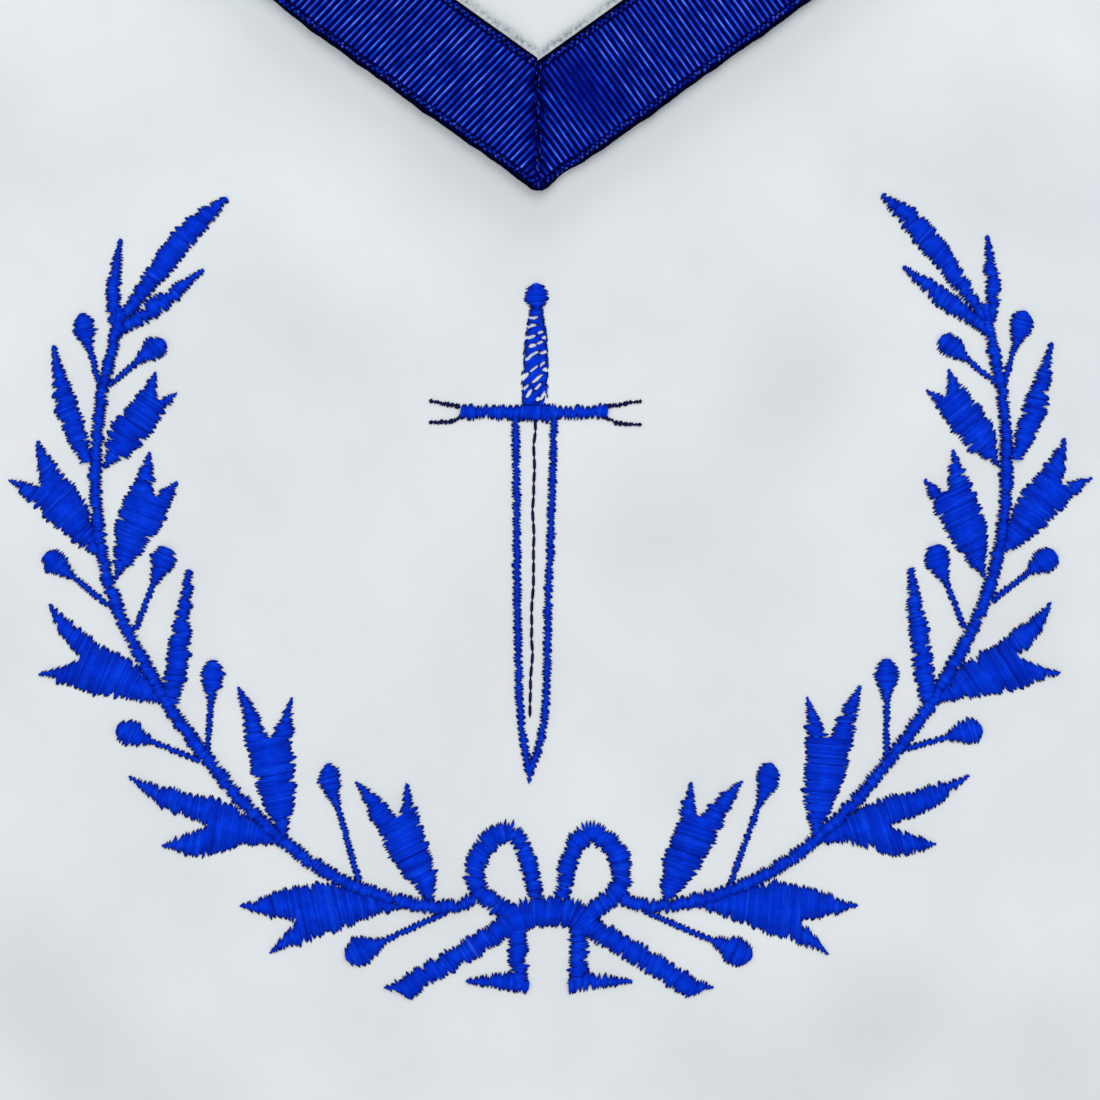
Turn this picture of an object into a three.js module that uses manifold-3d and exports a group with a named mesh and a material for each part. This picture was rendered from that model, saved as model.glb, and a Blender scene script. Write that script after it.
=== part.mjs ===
// A white leather ceremonial apron with a triangular flap, lying flat on its back.
// X runs across the apron, Y runs up to the waist edge and Z comes out of its front.
// The origin is the centre of the panel's back, on the surface that it lies on.
// All sizes are in millimetres.

import * as THREE from 'three';
import { mergeVertices } from 'three/addons/utils/BufferGeometryUtils.js';
import Module from 'manifold-3d';

const wasm = await Module();
wasm.setup();

// Panel and flap
const bodyWidth = 406;
const bodyHeight = 356;
const bodyCorner = 3;
const leather = 1.5;
const flapDrop = 145;
const flapTipRound = 3;
const flapCornerClip = 3;
const flapInset = 0.6;
const hemDepth = 14;
const hemEndGap = 2;

// Ribbon along the flap's edges and round the panel
const ribbonWidth = 22;
const ribbonThickness = 1;
const ribbonTopInset = 1;
const ribbonInnerRound = 1;

// Embroidery: raised thread, the wreath, the sword and the bow
const threadThickness = 0.9;
const emblemShift = 1.8;
const emblemRise = 50.4;
const wreathHalfWidth = 108;
const wreathHeight = 162;
const wreathLeanOffset = 2.4;
const wreathRiseOffset = 0.7;
const stemWidth = 2.9;
const stalkWidth = 1.4;
const bowLoopWidth = 4;
const bowKnotWidth = 6.6;
const swordTopGap = 17.4;
const swordFootGap = 7.8;
const swordShift = -3.1;
const swordLeanOffset = 1.4;
const guardHalfSpan = 21.3;
const guardThickness = 3;
const gripHalfWidth = 2.8;
const pommelHalfWidth = 2.4;
const bladeEdgeWidth = 1.8;

// Waist belt and clasp
const webWidth = 25;
const webThickness = 1.5;
const webEdgeInset = 2;
const strapSewnLength = 30;
const strapOutLength = 8;
const bendRadius = 50;
const bendTurn = THREE.MathUtils.degToRad(170);
const twistLength = 75;
const returnTail = 22;
const returnClosing = 12;
const claspBar = 2.4;
const claspSlot = 5;
const claspMiddle = 13.6;
const claspRim = 2.5;
const slotClearance = 0.5;

// How the leather lies, and the space between touching layers
const gap = 0.3;
const swellHeight = 2.5;
const liftRamp = 32;
const liftMargin = 1;
const gridCell = 17;
const gridMargin = 4;

// Places worked out from the sizes
const halfWidth = bodyWidth / 2;
const topEdge = bodyHeight / 2;
const bottomEdge = -bodyHeight / 2;
const flapTip = topEdge - flapDrop;
const flapSlope = Math.atan2(flapDrop, halfWidth);
const backLift = Math.max(leather, webThickness) + gap;
const liftLand = Math.max(hemDepth, webWidth + webEdgeInset) + liftMargin;
const emblemFoot = bottomEdge + emblemRise;
const bowHalfWidth = 0.306 * wreathHalfWidth;
const bowHeight = 0.2185 * wreathHeight;
const cutReach = 60;

// Colours from the photograph
const colours = {
  leather: new THREE.MeshStandardMaterial({ name: 'white_leather', color: 0xe4e9ec, roughness: 0.62 }),
  ribbon: new THREE.MeshStandardMaterial({ name: 'blue_ribbon', color: 0x04149a, roughness: 0.48 }),
  thread: new THREE.MeshStandardMaterial({ name: 'blue_thread', color: 0x0432cc, roughness: 0.4 }),
  webbing: new THREE.MeshStandardMaterial({ name: 'white_webbing', color: 0xe2e4e2, roughness: 0.8 }),
  metal: new THREE.MeshStandardMaterial({ name: 'nickel', color: 0xc8c9c6, roughness: 0.28, metalness: 1 }),
};

// Soft swells of the laid leather. x, length and width are shares of the panel's half width,
// y is a share of its half height, height is a share of swellHeight, and angle is in degrees.
const swells = [
  { x: -0.19, y: 0.09, length: 0.17, width: 0.11, angle: -27, height: 0.9 },
  { x: 0.17, y: -0.05, length: 0.21, width: 0.12, angle: 46, height: 1.0 },
  { x: -0.47, y: -0.68, length: 0.24, width: 0.11, angle: -49, height: 1.0 },
  { x: 0.31, y: -0.72, length: 0.20, width: 0.10, angle: 42, height: 0.7 },
  { x: 0.57, y: -0.36, length: 0.24, width: 0.12, angle: 82, height: 0.6 },
  { x: 0.47, y: 0.25, length: 0.25, width: 0.12, angle: -10, height: 0.8 },
  { x: -0.49, y: 0.30, length: 0.24, width: 0.11, angle: 9, height: 0.7 },
  { x: -0.80, y: -0.30, length: 0.32, width: 0.15, angle: 76, height: 1.1 },
  { x: 0.82, y: -0.10, length: 0.30, width: 0.14, angle: 98, height: 1.0 },
  { x: 0.08, y: -0.96, length: 0.28, width: 0.13, angle: 4, height: 0.7 },
  { x: 0.97, y: -0.97, length: 0.34, width: 0.24, angle: 45, height: 1.4 },
];

function smoothStep(value) {
  const t = THREE.MathUtils.clamp(value, 0, 1);
  return t * t * (3 - 2 * t);
}

// Height of the panel's back above the surface at one place.
function layHeight(x, y) {
  const rampPart = (topEdge - liftLand - y) / liftRamp;
  let height = backLift * (1 - smoothStep(rampPart));
  for (const swell of swells) {
    const angle = THREE.MathUtils.degToRad(swell.angle);
    const dx = x - swell.x * halfWidth;
    const dy = y - swell.y * topEdge;
    const along = (dx * Math.cos(angle) + dy * Math.sin(angle)) / (swell.length * halfWidth);
    const across = (dy * Math.cos(angle) - dx * Math.sin(angle)) / (swell.width * halfWidth);
    const inside = Math.max(0, 1 - along * along - across * across);
    height += swellHeight * swell.height * inside * inside;
  }
  return height;
}

// Grid lines between stops, no further apart than about one cell.
function gridLines(stops) {
  const lines = [stops[0]];
  for (let i = 1; i < stops.length; i += 1) {
    const span = stops[i] - stops[i - 1];
    const cells = Math.max(1, Math.round(span / gridCell));
    for (let k = 1; k <= cells; k += 1) {
      lines.push(stops[i - 1] + (span * k) / cells);
    }
  }
  return lines;
}

const columns = gridLines([
  -halfWidth - gridMargin,
  ribbonWidth - halfWidth,
  halfWidth - ribbonWidth,
  halfWidth + gridMargin,
]);
const rows = gridLines([
  bottomEdge - gridMargin,
  bottomEdge + ribbonWidth,
  topEdge - liftLand - liftRamp,
  topEdge - liftLand,
  topEdge + gridMargin,
]);

function solidOf(geometry) {
  const bare = geometry.index ? geometry.toNonIndexed() : geometry.clone();
  bare.deleteAttribute('normal');
  bare.deleteAttribute('uv');
  const merged = mergeVertices(bare, 1e-4);
  return new wasm.Manifold(new wasm.Mesh({
    numProp: 3,
    vertProperties: Float32Array.from(merged.attributes.position.array),
    triVerts: Uint32Array.from(merged.index.array),
  }));
}

function geometryOf(solid) {
  const mesh = solid.getMesh();
  const geometry = new THREE.BufferGeometry();
  geometry.setAttribute('position', new THREE.BufferAttribute(mesh.vertProperties, mesh.numProp));
  geometry.setIndex(new THREE.BufferAttribute(mesh.triVerts, 1));
  return geometry;
}

function meshGeometry(points, faces) {
  const geometry = new THREE.BufferGeometry().setFromPoints(points);
  geometry.setIndex(faces);
  return geometry;
}

// A layer that follows the laid leather, between two heights above the panel's back.
function layer(low, thickness) {
  const points = [];
  for (const rise of [low, low + thickness]) {
    for (const y of rows) {
      for (const x of columns) {
        points.push(new THREE.Vector3(x, y, layHeight(x, y) + rise));
      }
    }
  }
  const wide = columns.length;
  const upper = wide * rows.length;
  const faces = [];
  const quad = (a, b, c, d) => faces.push(a, b, c, a, c, d);
  for (let row = 0; row < rows.length - 1; row += 1) {
    for (let column = 0; column < wide - 1; column += 1) {
      const a = row * wide + column;
      const b = a + 1;
      const c = a + wide + 1;
      const d = a + wide;
      faces.push(upper + a, upper + b, upper + c, upper + a, upper + c, upper + d);
      faces.push(a, c, b, a, d, c);
    }
  }
  for (let column = 0; column < wide - 1; column += 1) {
    const near = column;
    const far = (rows.length - 1) * wide + column;
    quad(near, near + 1, upper + near + 1, upper + near);
    quad(far + 1, far, upper + far, upper + far + 1);
  }
  for (let row = 0; row < rows.length - 1; row += 1) {
    const left = row * wide;
    const right = left + wide - 1;
    quad(left + wide, left, upper + left, upper + left + wide);
    quad(right, right + wide, upper + right + wide, upper + right);
  }
  return solidOf(meshGeometry(points, faces));
}

// A tall prism of an outline, to cut a layer with.
function prism(shape, curveSegments = 2) {
  const depth = 2 * cutReach;
  const geometry = new THREE.ExtrudeGeometry(shape, { depth, bevelEnabled: false, curveSegments });
  geometry.translate(0, 0, -cutReach);
  return solidOf(geometry);
}

function joined(solids) {
  return solids.reduce((whole, solid) => whole.add(solid));
}

function roundedPanel(inset, corner) {
  const x = halfWidth - inset;
  const low = bottomEdge + inset;
  const shape = new THREE.Shape();
  shape.moveTo(x, topEdge);
  shape.lineTo(-x, topEdge);
  shape.lineTo(-x, low + corner);
  shape.absarc(corner - x, low + corner, corner, Math.PI, 1.5 * Math.PI, false);
  shape.absarc(x - corner, low + corner, corner, 1.5 * Math.PI, 2 * Math.PI, false);
  return shape;
}

// The flap's outline, moved in from its edge, up to a height, with its side corners cut at sideLimit.
function flapOutline(inset, tipRound, top, sideLimit) {
  const tip = flapTip + inset / Math.cos(flapSlope);
  const centre = tip + tipRound / Math.cos(flapSlope);
  const down = -Math.PI / 2;
  const side = Math.min(sideLimit, (top - tip) / Math.tan(flapSlope));
  const sideFoot = tip + side * Math.tan(flapSlope);
  const shape = new THREE.Shape();
  shape.absarc(0, centre, tipRound, down - flapSlope, down + flapSlope, false);
  shape.lineTo(side, sideFoot);
  shape.lineTo(side, top);
  shape.lineTo(-side, top);
  shape.lineTo(-side, sideFoot);
  return shape;
}

function apronBody() {
  return layer(0, leather).intersect(prism(roundedPanel(0, bodyCorner), 4));
}

// The flap goes over the panel's top edge and ends in a hem on the back.
function flapFold() {
  const innerRadius = leather / 2 + gap;
  const outerRadius = innerRadius + leather;
  const middle = backLift + leather / 2;
  const quarter = Math.PI / 2;
  const shape = new THREE.Shape();
  shape.moveTo(topEdge - hemDepth, middle - outerRadius);
  shape.absarc(topEdge, middle, outerRadius, -quarter, quarter, false);
  shape.lineTo(topEdge - leather, middle + outerRadius);
  shape.lineTo(topEdge - leather, middle + innerRadius);
  shape.absarc(topEdge, middle, innerRadius, quarter, -quarter, true);
  shape.lineTo(topEdge - hemDepth, middle - innerRadius);
  const length = 2 * (halfWidth - strapSewnLength - hemEndGap);
  const geometry = new THREE.ExtrudeGeometry(shape, { depth: length, bevelEnabled: false, curveSegments: 5 });
  const across = new THREE.Vector3(1, 0, 0);
  const up = new THREE.Vector3(0, 1, 0);
  const out = new THREE.Vector3(0, 0, 1);
  geometry.applyMatrix4(new THREE.Matrix4().makeBasis(up, out, across));
  geometry.translate(-length / 2, 0, 0);
  return solidOf(geometry);
}

function flap() {
  const outline = flapOutline(flapInset, flapTipRound, topEdge, halfWidth - flapCornerClip - flapInset);
  const front = layer(leather + gap, leather).intersect(prism(outline, 4));
  return front.add(flapFold());
}

function flapRibbon() {
  const outer = flapOutline(0, flapTipRound, topEdge - ribbonTopInset, halfWidth - flapCornerClip);
  const inner = flapOutline(ribbonWidth, ribbonInnerRound, topEdge + gridMargin, bodyWidth);
  const band = prism(outer, 4).subtract(prism(inner, 2));
  return layer(2 * (leather + gap), ribbonThickness).intersect(band);
}

function borderRibbon() {
  const outer = prism(roundedPanel(0, bodyCorner), 4);
  const inner = roundedPanel(ribbonWidth, ribbonInnerRound);
  const flapRoom = flapOutline(-gap, flapTipRound, topEdge + gridMargin, bodyWidth);
  const band = outer.subtract(prism(inner, 2)).subtract(prism(flapRoom, 4));
  return layer(leather + gap, ribbonThickness).intersect(band);
}

// The outline of a band of even or changing width along a smooth centre line.
function bandOutline(points, widths, steps) {
  const curve = new THREE.SplineCurve(points);
  const left = [];
  const right = [];
  for (let i = 0; i <= steps; i += 1) {
    const t = i / steps;
    const centre = curve.getPoint(t);
    const along = curve.getTangent(t);
    const place = t * (widths.length - 1);
    const first = Math.min(Math.floor(place), widths.length - 2);
    const width = THREE.MathUtils.lerp(widths[first], widths[first + 1], place - first);
    left.push(new THREE.Vector2(centre.x - (along.y * width) / 2, centre.y + (along.x * width) / 2));
    right.push(new THREE.Vector2(centre.x + (along.y * width) / 2, centre.y - (along.x * width) / 2));
  }
  return new THREE.Shape([...right, ...left.reverse()]);
}

function ellipseOutline(centre, halfAcross, halfUp) {
  const shape = new THREE.Shape();
  shape.absellipse(centre.x, centre.y, halfAcross, halfUp, 0, 2 * Math.PI, false, 0);
  return shape;
}

function embroidered(solids) {
  return layer(leather + gap, threadThickness).intersect(joined(solids));
}

// The wreath's tables: a place is [across, up], shares of the half width and the height.
const stemPlaces = [
  [0.136, 0.120], [0.220, 0.112], [0.378, 0.142], [0.517, 0.207], [0.640, 0.300],
  [0.734, 0.393], [0.813, 0.504], [0.840, 0.616], [0.833, 0.728], [0.799, 0.833],
  [0.797, 0.853],
];

// Leaves with one point. widest and bend are shares of the half width, bulge says how far along
// the widest place lies, and root and end are shares of the widest. bend goes outwards.
const plainLeaves = [
  { from: [0.798, 0.834], to: [0.597, 0.988], widest: 0.048, bulge: 0.66, root: 0.4, end: 0.24, bend: 0.0145 },
  { from: [0.808, 0.833], to: [0.795, 0.938], widest: 0.030, bulge: 0.45, root: 0.6, end: 0.2, bend: 0.0046 },
  { from: [0.803, 0.821], to: [0.641, 0.900], widest: 0.037, bulge: 0.5, root: 0.6, end: 0.2, bend: -0.0028 },
  { from: [0.857, 0.662], to: [0.919, 0.806], widest: 0.045, bulge: 0.47, root: 0.55, end: 0.15, bend: 0.0075 },
  { from: [0.703, 0.365], to: [0.666, 0.528], widest: 0.041, bulge: 0.44, root: 0.9, end: 0.2, bend: -0.001 },
];

// Leaves with two points, A and B, and a notch between them. sideA and sideB are places along
// the outer edges, from the points down to the root. fullA and fullB say how far the edges
// beside the notch swell, as shares of the half width.
const forkedLeaves = [
  {
    root: [0.827, 0.653], tipA: [0.728, 0.776], notch: [0.726, 0.740], tipB: [0.687, 0.749],
    sideA: [[0.767, 0.745], [0.815, 0.704]], sideB: [[0.719, 0.716], [0.765, 0.676]],
    fullA: 0.001, fullB: 0.001,
  },
  {
    root: [0.825, 0.542], tipA: [0.949, 0.691], notch: [0.943, 0.632], tipB: [1.003, 0.640],
    sideA: [[0.902, 0.649], [0.859, 0.610]], sideB: [[0.953, 0.603], [0.879, 0.560]],
    fullA: 0.006, fullB: 0.003,
  },
  {
    root: [0.804, 0.515], tipA: [0.741, 0.677], notch: [0.732, 0.621], tipB: [0.686, 0.639],
    sideA: [[0.780, 0.628], [0.808, 0.579]], sideB: [[0.712, 0.592], [0.750, 0.553]],
    fullA: 0.004, fullB: 0.002,
  },
  {
    root: [0.706, 0.361], tipA: [0.929, 0.489], notch: [0.869, 0.418], tipB: [0.951, 0.399],
    sideA: [[0.840, 0.441], [0.767, 0.412]], sideB: [[0.860, 0.377], [0.776, 0.367]],
    fullA: 0.012, fullB: 0.001,
  },
  {
    root: [0.491, 0.188], tipA: [0.578, 0.386], notch: [0.517, 0.319], tipB: [0.476, 0.371],
    sideA: [[0.567, 0.325], [0.539, 0.251]], sideB: [[0.475, 0.319], [0.471, 0.245]],
    fullA: 0.008, fullB: 0.003,
  },
  {
    root: [0.489, 0.189], tipA: [0.783, 0.274], notch: [0.632, 0.210], tipB: [0.720, 0.187],
    sideA: [[0.693, 0.257], [0.582, 0.236]], sideB: [[0.649, 0.172], [0.572, 0.186]],
    fullA: 0.016, fullB: 0.005,
  },
  {
    root: [0.218, 0.113], tipA: [0.361, 0.268], notch: [0.279, 0.222], tipB: [0.263, 0.268],
    sideA: [[0.333, 0.226], [0.280, 0.158]], sideB: [[0.238, 0.220], [0.207, 0.150]],
    fullA: 0.008, fullB: 0.001,
  },
  {
    root: [0.262, 0.112], tipA: [0.577, 0.113], notch: [0.467, 0.094], tipB: [0.520, 0.053],
    sideA: [[0.480, 0.135], [0.390, 0.141]], sideB: [[0.442, 0.069], [0.350, 0.092]],
    fullA: 0.006, fullB: 0.003,
  },
];

// Berries: the centre, half sizes as shares of the half width, and where the stalk leaves the stem
// on the left and on the right branch.
const berries = [
  { at: [0.862, 0.828], half: [0.022, 0.027], stalk: [0.832, 0.753], rightStalk: [0.832, 0.753] },
  { at: [0.731, 0.803], half: [0.025, 0.023], stalk: [0.817, 0.757], rightStalk: [0.817, 0.757] },
  { at: [0.916, 0.538], half: [0.025, 0.024], stalk: [0.817, 0.484], rightStalk: [0.817, 0.488] },
  { at: [0.715, 0.540], half: [0.022, 0.028], stalk: [0.767, 0.455], rightStalk: [0.767, 0.455] },
  { at: [0.624, 0.397], half: [0.023, 0.030], stalk: [0.634, 0.298], rightStalk: [0.626, 0.290] },
  { at: [0.778, 0.327], half: [0.026, 0.026], stalk: [0.647, 0.292], rightStalk: [0.655, 0.305] },
  { at: [0.406, 0.269], half: [0.022, 0.030], stalk: [0.352, 0.144], rightStalk: [0.338, 0.140] },
  { at: [0.349, 0.056], half: [0.030, 0.029], stalk: [0.187, 0.106], rightStalk: [0.176, 0.106] },
];

function wreathPlace([across, up], side) {
  const lean = side > 0 ? wreathLeanOffset * up * up : 0;
  const rise = side > 0 ? wreathRiseOffset * up : 0;
  const x = emblemShift + side * (across * wreathHalfWidth + lean);
  return new THREE.Vector2(x, emblemFoot + up * wreathHeight + rise);
}

function plainLeafOutline(leaf, side) {
  const from = wreathPlace(leaf.from, side);
  const to = wreathPlace(leaf.to, side);
  const widest = leaf.widest * wreathHalfWidth;
  const along = to.clone().sub(from);
  const out = new THREE.Vector2(-along.y, along.x).normalize();
  const edge = (share, width) => {
    const bend = -side * leaf.bend * wreathHalfWidth * Math.sin(Math.PI * share);
    return from.clone().addScaledVector(along, share).addScaledVector(out, bend + width / 2);
  };
  const shape = new THREE.Shape();
  const start = edge(0, -widest * leaf.root);
  shape.moveTo(start.x, start.y);
  shape.splineThru([edge(leaf.bulge, -widest), edge(1, -widest * leaf.end)]);
  const far = edge(1, widest * leaf.end);
  shape.lineTo(far.x, far.y);
  shape.splineThru([edge(leaf.bulge, widest), edge(0, widest * leaf.root)]);
  return shape;
}

// Draws a leaf's edge beside the notch, swelling towards the other point.
function fullerEdge(shape, from, to, fullness, toward) {
  const middle = from.clone().add(to).multiplyScalar(0.5);
  const along = to.clone().sub(from).normalize();
  const out = new THREE.Vector2(-along.y, along.x);
  out.multiplyScalar(Math.sign(toward.clone().sub(middle).dot(out)));
  const pull = middle.addScaledVector(out, 2 * fullness * wreathHalfWidth);
  shape.quadraticCurveTo(pull.x, pull.y, to.x, to.y);
}

function forkedLeafOutline(leaf, side) {
  const place = (pair) => wreathPlace(pair, side);
  const root = place(leaf.root);
  const sideA = leaf.sideA.map(place);
  const sideB = leaf.sideB.map(place);
  const tipA = place(leaf.tipA);
  const tipB = place(leaf.tipB);
  const notch = place(leaf.notch);
  const shape = new THREE.Shape();
  shape.moveTo(root.x, root.y);
  shape.splineThru([...sideA].reverse().concat(tipA));
  fullerEdge(shape, tipA, notch, leaf.fullA, tipB);
  fullerEdge(shape, notch, tipB, leaf.fullB, tipA);
  shape.splineThru([...sideB, root]);
  return shape;
}

function berryOutlines(berry, side) {
  const centre = wreathPlace(berry.at, side);
  const from = wreathPlace(side > 0 ? berry.rightStalk : berry.stalk, side);
  const fruit = ellipseOutline(centre, berry.half[0] * wreathHalfWidth, berry.half[1] * wreathHalfWidth);
  const stalk = bandOutline([from, centre], [stalkWidth, stalkWidth], 2);
  return [prism(fruit, 5), prism(stalk, 1)];
}

function wreathBranch(side) {
  const stem = bandOutline(stemPlaces.map((pair) => wreathPlace(pair, side)), [stemWidth, stemWidth], 14);
  const solids = [prism(stem, 1)];
  for (const leaf of plainLeaves) {
    solids.push(prism(plainLeafOutline(leaf, side), 2));
  }
  for (const leaf of forkedLeaves) {
    solids.push(prism(forkedLeafOutline(leaf, side), 2));
  }
  for (const berry of berries) {
    solids.push(...berryOutlines(berry, side));
  }
  return embroidered([joined(solids).subtract(joined(bowOutlines(gap)))]);
}

// The bow's tables: a place is [across, up], shares of its half width and its height.
const bowLoop = [
  [0.082, 0.565], [0.106, 0.695], [0.148, 0.836], [0.233, 0.932], [0.329, 0.904],
  [0.414, 0.819], [0.450, 0.695], [0.414, 0.593], [0.323, 0.525], [0.233, 0.469],
];
const bowKnot = [[-0.275, 0.378], [-0.160, 0.462], [0, 0.485], [0.160, 0.462], [0.275, 0.378]];
const bowTail = [[0.227, 0.337], [0.837, -0.008], [1, 0.054], [0.300, 0.449]];
const bowFoot = [
  [0.127, 0.420], [0.121, 0.012], [0.505, 0.078], [0.505, 0.098], [0.242, 0.150], [0.242, 0.420],
];

function bowPlace([across, up], side) {
  return new THREE.Vector2(emblemShift + side * across * bowHalfWidth, emblemFoot + up * bowHeight);
}

// Prisms of the bow, made wider by grow on each side.
function bowOutlines(grow) {
  const knotPlaces = bowKnot.map((pair) => bowPlace(pair, 1));
  const knotWidth = bowKnotWidth + 2 * grow;
  const solids = [prism(bandOutline(knotPlaces, [knotWidth, knotWidth], 8), 1)];
  for (const side of [-1, 1]) {
    const loopPlaces = bowLoop.map((pair) => bowPlace(pair, side));
    const loopWidth = bowLoopWidth + 2 * grow;
    solids.push(prism(bandOutline(loopPlaces, [loopWidth, loopWidth], 14), 1));
    solids.push(prism(new THREE.Shape(bowTail.map((pair) => bowPlace(pair, side))), 1));
    solids.push(prism(new THREE.Shape(bowFoot.map((pair) => bowPlace(pair, side))), 1));
  }
  return solids;
}

function embroideredBow() {
  return embroidered(bowOutlines(0));
}

// The sword's tables. down is a share of its length from the pommel to the point; across is a
// share of the guard's half span, of the grip's half width, or of the guard's thickness.
const swordTop = flapTip - swordTopGap;
const swordFoot = emblemFoot + bowHeight + swordFootGap;
const swordLength = swordTop - swordFoot;
const gripRows = [
  { down: 0.040, across: 0.50 }, { down: 0.064, across: 0.57 }, { down: 0.114, across: 0.86 },
  { down: 0.154, across: 0.89 }, { down: 0.194, across: 1.00 }, { down: 0.250, across: 0.86 },
];
const bladeRows = [
  { down: 0.260, left: 0.182, right: 0.184 }, { down: 0.495, left: 0.154, right: 0.168 },
  { down: 0.635, left: 0.139, right: 0.153 }, { down: 0.796, left: 0.114, right: 0.149 },
  { down: 0.876, left: 0.089, right: 0.130 }, { down: 0.930, left: 0.052, right: 0.082 },
  { down: 0.985, left: 0.000, right: 0.000 },
];
const guardEdge = [
  { across: 0.13, up: 0.73 }, { across: 0.18, up: 0.50 }, { across: 0.667, up: 0.50 },
  { across: 0.995, up: 0.83 }, { across: 1.0, up: 0.63 }, { across: 0.751, up: 0.20 },
  { across: 0.685, up: 0 },
];

function swordPlace(down, across) {
  const x = emblemShift + swordShift + swordLeanOffset / 2 - swordLeanOffset * down + across;
  return new THREE.Vector2(x, swordTop - down * swordLength);
}

function guardOutline() {
  const middle = 0.2595;
  const corner = (row, sideways, upwards) => {
    const place = swordPlace(middle, sideways * row.across * guardHalfSpan);
    place.y += upwards * row.up * guardThickness;
    return place;
  };
  const back = [...guardEdge].reverse().slice(1);
  return new THREE.Shape([
    ...guardEdge.map((row) => corner(row, 1, 1)),
    ...back.map((row) => corner(row, 1, -1)),
    ...guardEdge.map((row) => corner(row, -1, -1)),
    ...back.map((row) => corner(row, -1, 1)),
  ]);
}

function embroideredSword() {
  const pommel = ellipseOutline(swordPlace(0.026, 0), pommelHalfWidth, 1.08 * pommelHalfWidth);
  const grip = new THREE.Shape([
    ...gripRows.map((row) => swordPlace(row.down, row.across * gripHalfWidth)),
    ...[...gripRows].reverse().map((row) => swordPlace(row.down, -row.across * gripHalfWidth)),
  ]);
  const edge = (column, sign) => {
    const places = bladeRows.map((row) => swordPlace(row.down, sign * row[column] * guardHalfSpan));
    return prism(bandOutline(places, [bladeEdgeWidth, bladeEdgeWidth], 9), 1);
  };
  return embroidered([
    prism(pommel, 5),
    prism(grip, 1),
    prism(guardOutline(), 1),
    edge('left', -1),
    edge('right', 1),
  ]);
}

// A flat strip through a row of stations, each with its centre, its width direction and its face.
function strip(stations, width, thickness) {
  const points = [];
  for (const { centre, wide, face } of stations) {
    for (const [side, out] of [[-1, -1], [1, -1], [1, 1], [-1, 1]]) {
      points.push(centre.clone()
        .addScaledVector(wide, (side * width) / 2)
        .addScaledVector(face, (out * thickness) / 2));
    }
  }
  const faces = [];
  for (let i = 0; i < stations.length - 1; i += 1) {
    for (let k = 0; k < 4; k += 1) {
      const a = 4 * i + k;
      const b = 4 * i + ((k + 1) % 4);
      faces.push(a, b, b + 4, a, b + 4, a + 4);
    }
  }
  const last = 4 * (stations.length - 1);
  faces.push(0, 2, 1, 0, 3, 2);
  faces.push(last, last + 1, last + 2, last, last + 2, last + 3);
  return meshGeometry(points, faces);
}

// The clasp is a plate on its long edge with an upright bar at each end, behind a slot.
const barReach = claspMiddle / 2 + claspSlot + claspBar / 2;
const slotHeight = webWidth + 2 * slotClearance;
const claspHeight = slotHeight + 2 * claspRim;
const wrapRadius = (Math.SQRT2 * claspBar) / 2 + gap + webThickness / 2;
const bendStart = halfWidth + strapOutLength;
const bendEnd = bendStart + bendRadius * Math.sin(bendTurn);
const strapY = topEdge - webEdgeInset - webWidth / 2;
const backTurn = Math.PI - bendTurn;
const backRadius = (bendEnd - barReach) / Math.sin(backTurn);
const backLength = backRadius * backTurn;
const bendLength = bendRadius * bendTurn;
const bendTop = strapY + bendRadius * (1 - Math.cos(bendTurn));
const barY = bendTop + backRadius * (1 - Math.cos(backTurn)) - wrapRadius;

// The right strap's plan: distance from the bend's start to place and heading.
function strapPlan(distance) {
  if (distance <= 0) {
    return { x: bendStart + distance, y: strapY, heading: 0 };
  }
  if (distance <= bendLength) {
    const turn = distance / bendRadius;
    const x = bendStart + bendRadius * Math.sin(turn);
    return { x, y: strapY + bendRadius * (1 - Math.cos(turn)), heading: turn };
  }
  const left = backTurn - (distance - bendLength) / backRadius;
  const x = barReach + backRadius * Math.sin(left);
  const y = barY + wrapRadius - backRadius * (1 - Math.cos(left));
  return { x, y, heading: Math.PI - left };
}

// The strap leaves the panel flat, turns onto its edge in the bend and rises to the clasp's slot.
function strapStation(distance, inward = 0) {
  const { x, y, heading } = strapPlan(distance);
  const twist = (Math.PI / 2) * smoothStep(distance / twistLength);
  const sewnHeight = backLift - gap - webThickness / 2;
  const edgeHeight = webWidth / 2;
  const rise = (claspHeight / 2 - edgeHeight) * smoothStep((distance - bendLength) / (0.8 * backLength));
  const flatPart = distance > 0 ? (webThickness / 2) * Math.cos(twist) : sewnHeight;
  const inside = new THREE.Vector3(-Math.sin(heading), Math.cos(heading), 0);
  const upward = new THREE.Vector3(0, 0, 1);
  const wide = inside.clone().multiplyScalar(Math.cos(twist)).addScaledVector(upward, Math.sin(twist));
  const face = upward.clone().multiplyScalar(Math.cos(twist)).addScaledVector(inside, -Math.sin(twist));
  const centre = new THREE.Vector3(x, y, flatPart + edgeHeight * Math.sin(twist) + rise);
  centre.addScaledVector(inside, inward);
  return { centre, wide, face };
}

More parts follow.
